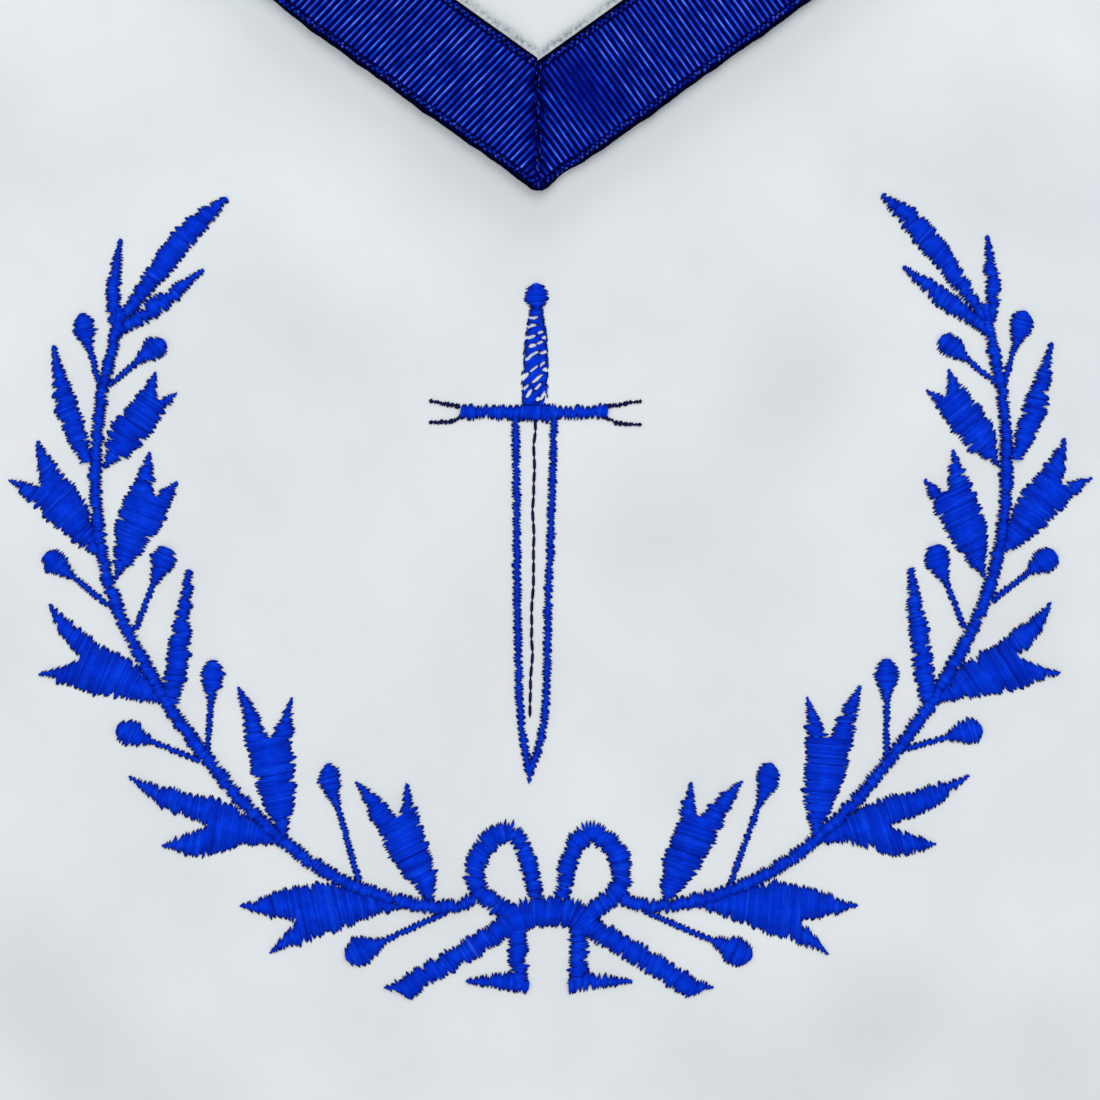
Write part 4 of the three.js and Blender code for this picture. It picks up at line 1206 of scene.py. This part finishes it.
def wreath_branch(side):
    rows = []
    for shape, table in ((forked_leaf, FORKED_LEAVES), (plain_leaf, PLAIN_LEAVES), (berry, BERRIES)):
        for row in table:
            rows += shape(side, *row)
    stem = wreath_places(STEM, side)
    rows += satin_column(stem, [STEM_WIDTH, STEM_WIDTH, 0.85 * STEM_WIDTH], lift=0.3)
    where = side_name(side)
    return stitched_piece(f"wreath_stitches_{where}", rows, f"embroidered_wreath_{where}")


wreath = [wreath_branch(-1), wreath_branch(1)]
print("wreath faces:", [len(branch.data.polygons) for branch in wreath])

# %% [markdown]
# The bow is three columns and six fills. The two loops and the knot are columns, and each side
# also has a long tail, a short leg and its foot. The knot is laid over them last and higher, so
# that it covers where they meet.

# %% The bow
BOW_HALF_WIDTH = 0.306 * WREATH_HALF_WIDTH
BOW_HEIGHT = 0.2185 * WREATH_HEIGHT
LOOP_WIDTH = 4.0
KNOT_WIDTH = 6.6
TAIL_TURN = 94
BOW_LOOP = [
    (0.082, 0.565), (0.106, 0.695), (0.148, 0.836), (0.233, 0.932), (0.329, 0.904),
    (0.414, 0.819), (0.450, 0.695), (0.414, 0.593), (0.323, 0.525), (0.233, 0.469),
]
BOW_KNOT = [(-0.275, 0.378), (-0.160, 0.462), (0, 0.485), (0.160, 0.462), (0.275, 0.378)]
BOW_TAIL = [(0.227, 0.337), (0.837, -0.008), (1, 0.054), (0.300, 0.449)]
BOW_LEG = [(0.242, 0.420), (0.127, 0.420), (0.121, 0.070), (0.242, 0.090)]
BOW_FOOT = [(0.121, 0.110), (0.121, 0.012), (0.505, 0.078), (0.505, 0.098), (0.242, 0.150)]


def bow_places(pairs, side):
    half = side * BOW_HALF_WIDTH
    return [np.array([EMBLEM_X + half * across, EMBLEM_FOOT + up * BOW_HEIGHT]) for across, up in pairs]


def bow():
    rows = []
    for side in (-1, 1):
        tail = bow_places(BOW_TAIL, side)
        loop_widths = [LOOP_WIDTH * 0.9, LOOP_WIDTH * 1.12, LOOP_WIDTH]
        rows += satin_column(bow_places(BOW_LOOP, side), loop_widths, lift=0.15)
        rows += satin_fill(tail, heading(tail[0], tail[1]) + TAIL_TURN)
        rows += satin_fill(bow_places(BOW_LEG, side), 2)
        rows += satin_fill(bow_places(BOW_FOOT, side), 88)
    knot_widths = [KNOT_WIDTH * 0.8, KNOT_WIDTH, KNOT_WIDTH * 0.8]
    rows += satin_column(bow_places(BOW_KNOT, 1), knot_widths, lift=0.35)
    return stitched_piece("bow_stitches", rows, "embroidered_bow")


bow_piece = bow()
print("bow faces:", len(bow_piece.data.polygons))

# %% [markdown]
# The sword is worked in five ways: a satin pommel, a grip of slanting threads, a satin guard
# with a thin dark fork at each end, two satin columns for the edges of the blade, and a thin
# dark running stitch down its middle. White leather shows through small slits in the grip. So
# each of its threads is a straight line that is interrupted wherever it would cross a slit.

# %% The sword
SWORD_TOP = FLAP_TIP - 17.4
SWORD_FOOT = EMBLEM_FOOT + BOW_HEIGHT + 7.8
SWORD_LENGTH = SWORD_TOP - SWORD_FOOT
SWORD_SHIFT = -3.1
SWORD_LEAN = 1.4
GUARD_HALF_SPAN = 21.3
GUARD_THICKNESS = 3.0
GUARD_DOWN = 0.2595
GRIP_HALF_WIDTH = 2.8
POMMEL_HALF_WIDTH = 2.4
BLADE_EDGE_WIDTH = 1.65
GRIP_ROWS = [(0.040, 0.50), (0.064, 0.57), (0.114, 0.86), (0.154, 0.89), (0.194, 1.00), (0.250, 0.86)]
# Each row: place down the sword, and the blade's reach to the left and to the right.
BLADE_ROWS = [
    (0.260, 0.182, 0.184), (0.495, 0.154, 0.168), (0.635, 0.139, 0.153), (0.796, 0.114, 0.149),
    (0.876, 0.089, 0.130), (0.930, 0.052, 0.082), (0.985, 0.000, 0.000),
]
GRIP_SPACING = 0.27
GRIP_THREAD = 0.44
SLIT_END = 0.15
SLIT_SIDE = 0.17
SHORTEST_THREAD = 0.35
GRIP_FIRST = 0.046
GRIP_CLOSED = 0.045
GRIP_LAST = 0.290
GRIP_SLOPE = 10
GRIP_STEEPENING = 280
# Each row: place across and down, length, and slope in degrees.
GRIP_SLITS = [
    (-0.18, 0.070, 0.50, 10),
    (-0.31, 0.087, 0.50, 18),
    (0.34, 0.100, 0.27, 20),
    (-0.45, 0.109, 0.80, 15),
    (0.66, 0.110, 0.28, -20),
    (0.30, 0.120, 0.32, 5),
    (-0.22, 0.126, 0.42, 10),
    (0.57, 0.139, 0.35, 10),
    (-0.14, 0.143, 0.57, 28),
    (-0.57, 0.152, 0.28, 50),
    (0.51, 0.163, 0.35, 50),
    (-0.10, 0.172, 0.60, 38),
    (0.75, 0.174, 0.42, -10),
    (-0.73, 0.188, 0.64, 50),
    (0.16, 0.192, 0.86, 36),
    (0.21, 0.208, 0.50, 35),
    (-0.68, 0.210, 0.43, 48),
    (-0.43, 0.222, 0.57, 58),
    (0.57, 0.226, 0.64, 60),
    (0.21, 0.233, 0.22, 0),
]
EDGE_PITCH = 0.0192
EDGE_THREADS = 9
PRONG_WIDTHS = [0.85, 0.75, 0.45]
LINE_FIRST = 0.270
LINE_LAST = 0.862
LINE_PITCH = 0.026
LINE_STITCH = 0.031
# Each prong of the guard: places out and up, as shares of the half span and the thickness.
PRONGS = [
    [(-0.70, 0.37), (-0.80, 0.50), (-0.89, 0.60), (-0.99, 0.77)],
    [(-0.69, -0.30), (-0.777, -0.60), (-0.889, -0.67), (-1.0, -0.67)],
    [(0.67, 0.43), (0.782, 0.43), (0.876, 0.60), (0.998, 0.70)],
    [(0.665, -0.30), (0.735, -0.63), (0.838, -0.80), (0.998, -0.87)],
]


def sword_place(down, across):
    x = EMBLEM_X + SWORD_SHIFT + SWORD_LEAN / 2 - SWORD_LEAN * down + across
    return np.array([x, SWORD_TOP - down * SWORD_LENGTH])


def grip_half(down):
    downs, widths = zip(*GRIP_ROWS)
    return float(np.interp(down, downs, widths)) * GRIP_HALF_WIDTH


def slit_span(slit, middle, direction):
    """The part of a stitch's line that lies over one slit, or None."""
    across, down, length, slope = slit
    angle = math.radians(slope)
    half_long = length * GRIP_HALF_WIDTH / 2 + SLIT_END
    half_short = SLIT_SIDE + GRIP_THREAD / 2
    long_way = np.array([math.cos(angle), math.sin(angle)]) / half_long
    short_way = np.array([-math.sin(angle), math.cos(angle)]) / half_short
    offset = middle - sword_place(down, across * GRIP_HALF_WIDTH)
    p = np.array([offset @ long_way, offset @ short_way])
    d = np.array([direction @ long_way, direction @ short_way])
    inside = (p @ d) ** 2 - (d @ d) * (p @ p - 1)
    if inside <= 0:
        return None
    return (-(p @ d) - math.sqrt(inside)) / (d @ d), (-(p @ d) + math.sqrt(inside)) / (d @ d)


def grip_threads():
    """Fine slanting threads across the grip, steeper towards the guard, open at the slits."""
    closed_y = sword_place(GRIP_CLOSED, 0)[1]
    guard_y = sword_place(GUARD_DOWN, 0)[1]
    rows = []
    for down in np.arange(GRIP_FIRST, GRIP_LAST, GRIP_SPACING / SWORD_LENGTH):
        slope = math.radians(GRIP_SLOPE + GRIP_STEEPENING * (down - 0.07))
        direction = np.array([math.cos(slope), math.sin(slope)])
        middle = sword_place(down, 0)
        reach = grip_half(down) / math.cos(slope) + draw.normal(0, 0.08)
        high = min(reach, (closed_y - middle[1]) / math.sin(slope))
        low = max(-reach, (guard_y - middle[1]) / math.sin(slope))
        pieces = [(low, high)]
        for slit in GRIP_SLITS:
            span = slit_span(slit, middle, direction)
            if span:
                left = [(a, min(b, span[0])) for a, b in pieces]
                right = [(max(a, span[1]), b) for a, b in pieces]
                pieces = [(a, b) for a, b in left + right if b - a > SHORTEST_THREAD]
        for a, b in pieces:
            rows.append([*(middle + direction * a), *(middle + direction * b), 0.02, 0.2, GRIP_THREAD])
    return rows


def grip_edges():
    """The thin dark threads that close the grip at both sides."""
    rows = []
    for number in range(EDGE_THREADS):
        for side in (-1, 1):
            down = 0.070 + EDGE_PITCH * (number + 0.25 - 0.25 * side) + draw.normal(0, 0.002)
            half = grip_half(down) + draw.uniform(-0.15, 0.15)
            start = sword_place(down - 0.003, side * (half - 0.25))
            end = sword_place(down + 0.009, side * half)
            rows.append([*start, *end, 0.05, 0.15, 0.32])
    return rows


def guard_point(pair):
    return sword_place(GUARD_DOWN, 0) + (pair[0] * GUARD_HALF_SPAN, pair[1] * GUARD_THICKNESS)


def guard_rows():
    """The guard's bar and its middle boss."""
    bar = [guard_point((-0.697, 0)), guard_point((0, 0)), guard_point((0.674, 0))]
    boss = [guard_point((-0.13, -0.05)), guard_point((0.14, -0.05))]
    rows = satin_column(bar, [GUARD_THICKNESS] * 2, lift=0.15)
    return rows + satin_column(boss, [1.25 * GUARD_THICKNESS] * 2, lift=0.25)


def prong_rows():
    """Thin ragged prongs at the ends of the guard, worked in short dark stitches."""
    rows = []
    for prong in PRONGS:
        line = [guard_point(pair) for pair in prong]
        rows += satin_column(line, PRONG_WIDTHS, lift=0.05, spread=0.30)
    return rows


def sword():
    pommel = sword_place(0.026, 0)
    egg = []
    for t in np.radians(np.arange(0, 360, 15)):
        fuller = 1 - 0.13 * math.sin(t)
        egg.append(pommel + POMMEL_HALF_WIDTH * np.array([math.cos(t) * fuller, 1.08 * math.sin(t)]))
    rows = satin_fill(egg, 4, lift=0.2, spread=0.06) + grip_threads() + guard_rows()
    for column, side in ((1, -1), (2, 1)):
        line = [sword_place(row[0], side * row[column] * GUARD_HALF_SPAN) for row in BLADE_ROWS]
        rows += satin_column(line, [BLADE_EDGE_WIDTH] * 2, slant=0.2)
    rows += satin_column([sword_place(0.97, 0), sword_place(1.003, 0)], [1.6, 0.5])
    return stitched_piece("sword_stitches", rows, "embroidered_sword")


def dark_lines():
    """A thin dark running stitch down the middle of the blade, the grip's edges and the prongs."""
    rows = grip_edges() + prong_rows()
    across = 0.1
    for down in np.arange(LINE_FIRST, LINE_LAST, LINE_PITCH):
        start = sword_place(down, across)
        across = draw.normal(0.1, 0.16)
        end = sword_place(down + LINE_STITCH, across)
        rows.append([*start, *end, 0.02, 0.05, 0.66])
    return stitched_piece("dark_lines", rows, thread=dark_thread)


sword_pieces = [sword(), dark_lines()]
print("sword faces:", [len(piece.data.polygons) for piece in sword_pieces])

# %% [markdown]
# Along both of the ribbon's edges the weft turns back in small loops, and the seam catches
# them. Seen close, that is a row of short stitches beside every rib, some bright and some
# dark. Loose threads of the same kind also close the mitre.

# %% Seam stitches
LOOP_PITCH = 1.2
LOOP_HALF = 0.30
# Each row: how far along its rib a loop lies, and how it leans.
RIB_LOOPS = ((0.0, 0.42), (0.55, -0.36))
SEAM_THREAD = 0.50
OUTER_INSET = 1.35
INNER_INSET = RIBBON_WIDTH - 1.25
MITRE_LOOP_PITCH = 0.6
# The loops' high tone reaches the thread's painted highlight, and the darkened ones take its painted end
# shade all over.
SEAM_LOOK = {"tone": 0.75, "spread": 0.35, "darkening": 0.75}


def seam(start, end):
    """A zigzag of small loops along a straight line, two for each rib."""
    start, end = np.array(start, float), np.array(end, float)
    direction = (end - start) / np.linalg.norm(end - start)
    across = np.array([-direction[1], direction[0]])
    rows = []
    for place in np.arange(LOOP_PITCH / 2, np.linalg.norm(end - start), LOOP_PITCH):
        for offset, lean in RIB_LOOPS:
            centre = start + direction * (place + offset + draw.normal(0, 0.12))
            centre = centre + across * (draw.normal(0, 0.10) - lean * 0.5)
            half = (direction * LOOP_HALF + across * lean) * draw.uniform(0.8, 1.25)
            width = SEAM_THREAD * draw.uniform(0.8, 1.2)
            rows.append([*(centre - half), *(centre + half), 0.02, 0.12, width])
    return rows


def on_flap_ribbon(x, y):
    return over_flap(x, y) + RIBBON_BASE


def on_border_ribbon(x, y):
    return over_panel(x, y) + RIBBON_BASE


def flap_seams():
    rows = []
    for inset in (OUTER_INSET, INNER_INSET):
        corner_y = FLAP_TIP + inset / math.cos(FLAP_SLOPE)
        far_x = HALF_WIDTH - 4.0 - inset / math.sin(FLAP_SLOPE)
        for side in (-1, 1):
            far = (side * far_x, corner_y + far_x * math.tan(FLAP_SLOPE))
            near = (side * 1.0, corner_y + 1.0 * math.tan(FLAP_SLOPE))
            rows += seam(near, far)
    for y in np.arange(FLAP_TIP + 2.0, INNER_CORNER[1] - 1.0, MITRE_LOOP_PITCH):
        x = MITRE_X + draw.normal(0.15, 0.50)
        drift = draw.normal(0.05, 0.25)
        length = draw.uniform(0.35, 0.9)
        rows.append([x - drift, y + length, x + drift, y - length, 0.0, 0.04, 0.25])
    return stitched_piece("flap_seam_stitches", rows, ground=on_flap_ribbon, **SEAM_LOOK)


def border_seam(name, inset):
    x, low = HALF_WIDTH - inset, BOTTOM_EDGE + inset
    top = FLAP_TIP + x * math.tan(FLAP_SLOPE) - 1.0
    rows = seam((-x, low), (x, low))
    for side in (-1, 1):
        rows += seam((side * x, low), (side * x, top))
    return stitched_piece(name, rows, ground=on_border_ribbon, **SEAM_LOOK)


seams = [
    flap_seams(),
    border_seam("border_seam_outer", OUTER_INSET),
    border_seam("border_seam_inner", INNER_INSET),
]
print("seam faces:", [len(piece.data.polygons) for piece in seams])

# %% [markdown]
# Each half of the belt is one strip of webbing. It is sewn flat behind a top corner, leaves it
# sideways, turns onto its edge in a wide bend, and goes through the clasp and back on itself.
# The strip is a flat grid first. Every point is then carried to its place along this path.

# %% The belt's path
STRAP_OUT = 8.0
BEND_RADIUS = 50.0
BEND_TURN = math.radians(170)
TWIST_LENGTH = 75.0
RETURN_TAIL = 22.0
RETURN_CLOSING = 12.0
CLASP_BAR = 2.4
CLASP_SLOT = 5.0
CLASP_MIDDLE = 13.6
CLASP_RIM = 2.5
SLOT_CLEARANCE = 0.5
BAR_REACH = CLASP_MIDDLE / 2 + CLASP_SLOT + CLASP_BAR / 2
CLASP_HEIGHT = WEB_WIDTH + 2 * SLOT_CLEARANCE + 2 * CLASP_RIM
WRAP_RADIUS = math.sqrt(2) * CLASP_BAR / 2 + GAP + WEB_THICKNESS / 2
BEND_START = HALF_WIDTH + STRAP_OUT
STRAP_Y = TOP_EDGE - WEB_EDGE_INSET - WEB_WIDTH / 2
BACK_TURN = math.pi - BEND_TURN
BACK_RADIUS = (BEND_START + BEND_RADIUS * math.sin(BEND_TURN) - BAR_REACH) / math.sin(BACK_TURN)
BACK_LENGTH = BACK_RADIUS * BACK_TURN
BEND_LENGTH = BEND_RADIUS * BEND_TURN
BEND_TOP = STRAP_Y + BEND_RADIUS * (1 - math.cos(BEND_TURN))
BAR_Y = BEND_TOP + BACK_RADIUS * (1 - math.cos(BACK_TURN)) - WRAP_RADIUS
UPWARD = Vector((0, 0, 1))


def strap_plan(distance):
    """Place and heading of the strap, seen from above, at a distance past the bend's start."""
    if distance <= 0:
        return BEND_START + distance, STRAP_Y, 0.0
    if distance <= BEND_LENGTH:
        turn = distance / BEND_RADIUS
        x = BEND_START + BEND_RADIUS * math.sin(turn)
        return x, STRAP_Y + BEND_RADIUS * (1 - math.cos(turn)), turn
    left = BACK_TURN - (distance - BEND_LENGTH) / BACK_RADIUS
    y = BAR_Y + WRAP_RADIUS - BACK_RADIUS * (1 - math.cos(left))
    return BAR_REACH + BACK_RADIUS * math.sin(left), y, math.pi - left


def strap_station(distance, inward=0.0):
    """Centre, width direction and facing of the strap at one distance."""
    x, y, turn = strap_plan(distance)
    twist = math.pi / 2 * float(smooth_step(distance / TWIST_LENGTH))
    rise_part = float(smooth_step((distance - BEND_LENGTH) / (0.8 * BACK_LENGTH)))
    rise = (CLASP_HEIGHT / 2 - WEB_WIDTH / 2) * rise_part
    inside = Vector((-math.sin(turn), math.cos(turn), 0))
    wide = inside * math.cos(twist) + UPWARD * math.sin(twist)
    face = UPWARD * math.cos(twist) - inside * math.sin(twist)
    low = WEB_THICKNESS / 2 * math.cos(twist) + WEB_WIDTH / 2 * math.sin(twist)
    return Vector((x, y, low + rise)) + inside * inward, wide, face


def strap_at(distance):
    """Carries on past the clasp's bar: round it, and back along the strap."""
    total = BEND_LENGTH + BACK_LENGTH
    if distance <= total:
        return strap_station(distance)
    wrap = math.pi * WRAP_RADIUS
    if distance <= total + wrap:
        turn = (distance - total) / WRAP_RADIUS
        face = Vector((-math.sin(turn), math.cos(turn), 0))
        centre = Vector((BAR_REACH, BAR_Y, CLASP_HEIGHT / 2)) + face * WRAP_RADIUS
        return centre, UPWARD, face
    back = distance - total - wrap
    closed = WEB_THICKNESS + GAP
    opened = 1 - float(smooth_step(back / RETURN_CLOSING))
    centre, wide, face = strap_station(total - back, closed + (2 * WRAP_RADIUS - closed) * opened)
    return centre, wide, -face


STRAP_START = -STRAP_OUT - STRAP_SEWN
STRAP_END = BEND_LENGTH + BACK_LENGTH + math.pi * WRAP_RADIUS + RETURN_TAIL
STRAP_LENGTH = STRAP_END - STRAP_START
print("each strap:", round(STRAP_LENGTH), "mm long")

# %% The two straps
WEB_STEP = 1.1
WEB_ROWS = 14
WEB_FACE_INSET = 0.1
WEB_EDGE_PINCH = 0.25
WEB_EDGE_ROUND = 0.3
WEB_WIDTH_SHARE = 0.998


def strap(side):
    bm = bmesh.new()
    columns = round(STRAP_LENGTH / WEB_STEP)
    bmesh.ops.create_grid(bm, x_segments=columns, y_segments=WEB_ROWS, size=1.0)
    uv_layer = bm.loops.layers.uv.new("strip")
    flat = {}
    stations = {}
    for vert in bm.verts:
        along = STRAP_START + (vert.co.x + 1) / 2 * STRAP_LENGTH
        across = vert.co.y * WEB_WIDTH / 2
        key = round(along, 3)
        if key not in stations:
            stations[key] = strap_at(along)
        centre, wide, face = stations[key]
        flat[vert] = (along, across)
        lift = WEB_THICKNESS / 2 - WEB_FACE_INSET - WEB_EDGE_PINCH * abs(vert.co.y) ** 12
        place = centre + wide * across * WEB_WIDTH_SHARE + face * lift
        vert.co = (side * place.x, place.y, place.z)
    for face in bm.faces:
        for loop in face.loops:
            loop[uv_layer].uv = flat[loop.vert]
    if side < 0:
        bmesh.ops.reverse_faces(bm, faces=bm.faces)
    where = side_name(side)
    name = f"belt_strap_{where}"
    piece = add_piece(name, mesh_from(bm, name), webbing, f"belt_{where}")
    return thicken(piece, WEB_THICKNESS - 2 * WEB_FACE_INSET, -1.0, WEB_EDGE_ROUND)


straps = [strap(-1), strap(1)]
print("strap faces:", [len(piece.data.polygons) for piece in straps])

# %% [markdown]
# The clasp's shape in the measured model is right, but its edges are razor sharp. A copy of it
# is merged, its flat faces are joined again, and its edges are bevelled so they catch light.

# %% The clasp
CLASP_EDGE_ROUND = 0.45


def clasp():
    bm = bmesh.new()
    bm.from_mesh(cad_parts["belt_clasp"].data)
    bmesh.ops.remove_doubles(bm, verts=bm.verts, dist=1e-6)
    bmesh.ops.dissolve_limit(bm, angle_limit=math.radians(2), verts=bm.verts, edges=bm.edges)
    sharp = [edge for edge in bm.edges if edge.calc_face_angle(0.0) > math.radians(40)]
    bevel = {"affect": "EDGES", "segments": 3, "profile": 0.5, "material": -1}
    bmesh.ops.bevel(bm, geom=sharp, offset=CLASP_EDGE_ROUND * MM, **bevel)
    bmesh.ops.recalc_face_normals(bm, faces=bm.faces)
    mesh = bpy.data.meshes.new("clasp_plate")
    bm.to_mesh(mesh)
    bm.free()
    return add_piece("clasp_plate", mesh, nickel, "belt_clasp")


clasp_piece = clasp()
print("clasp faces:", len(clasp_piece.data.polygons))

# %% [markdown]
# The panel lies on the table. The flap is folded over the panel's top edge.

print("sheets: the panel and the folded flap")

# %% [markdown]
# The floor is plain and pale. The light in the photograph is soft and comes mostly from beyond
# the waist edge, a little from the right, and it is low enough to shade the lower edges.

# %% Floor and lights
FLOOR_HALF = 3000.0
FLOOR_DROP = 0.4


def area_light(name, place, size, power, colour):
    """A round lamp that faces the middle of the apron."""
    data = bpy.data.lights.new(name, "AREA")
    data.shape = "DISK"
    data.size = size
    data.energy = power
    data.color = colour
    lamp = bpy.data.objects.new(name, data)
    lamp.location = place
    lamp.rotation_euler = (-Vector(place)).to_track_quat("-Z", "Y").to_euler()
    bpy.context.scene.collection.objects.link(lamp)


floor_bm = bmesh.new()
bmesh.ops.create_grid(floor_bm, x_segments=1, y_segments=1, size=FLOOR_HALF)
bmesh.ops.translate(floor_bm, vec=(0, 0, -FLOOR_DROP), verts=floor_bm.verts)
floor_mesh = mesh_from(floor_bm, "floor")
floor_mesh.materials.append(new_material("pale_floor", 0.9, (0.62, 0.63, 0.64, 1))[0])
floor = bpy.data.objects.new("floor", floor_mesh)
bpy.context.scene.collection.objects.link(floor)

world = bpy.data.worlds.new("studio")
world.use_nodes = True
background = world.node_tree.nodes["Background"]
feed(world.node_tree, background, {"Color": (0.97, 0.99, 1.0, 1), "Strength": 0.62})
bpy.context.scene.world = world
bpy.context.scene.view_settings.view_transform = "Standard"
area_light("key", (0.22, 0.80, 1.02), 1.1, 5.6, (1.0, 0.995, 0.98))
area_light("top", (-0.20, -0.05, 1.25), 0.9, 3.25, (1.0, 1.0, 1.0))
print("lights placed")

# %% [markdown]
# The last cell brings the scene up to date.

# %% Finish


bpy.context.view_layer.update()
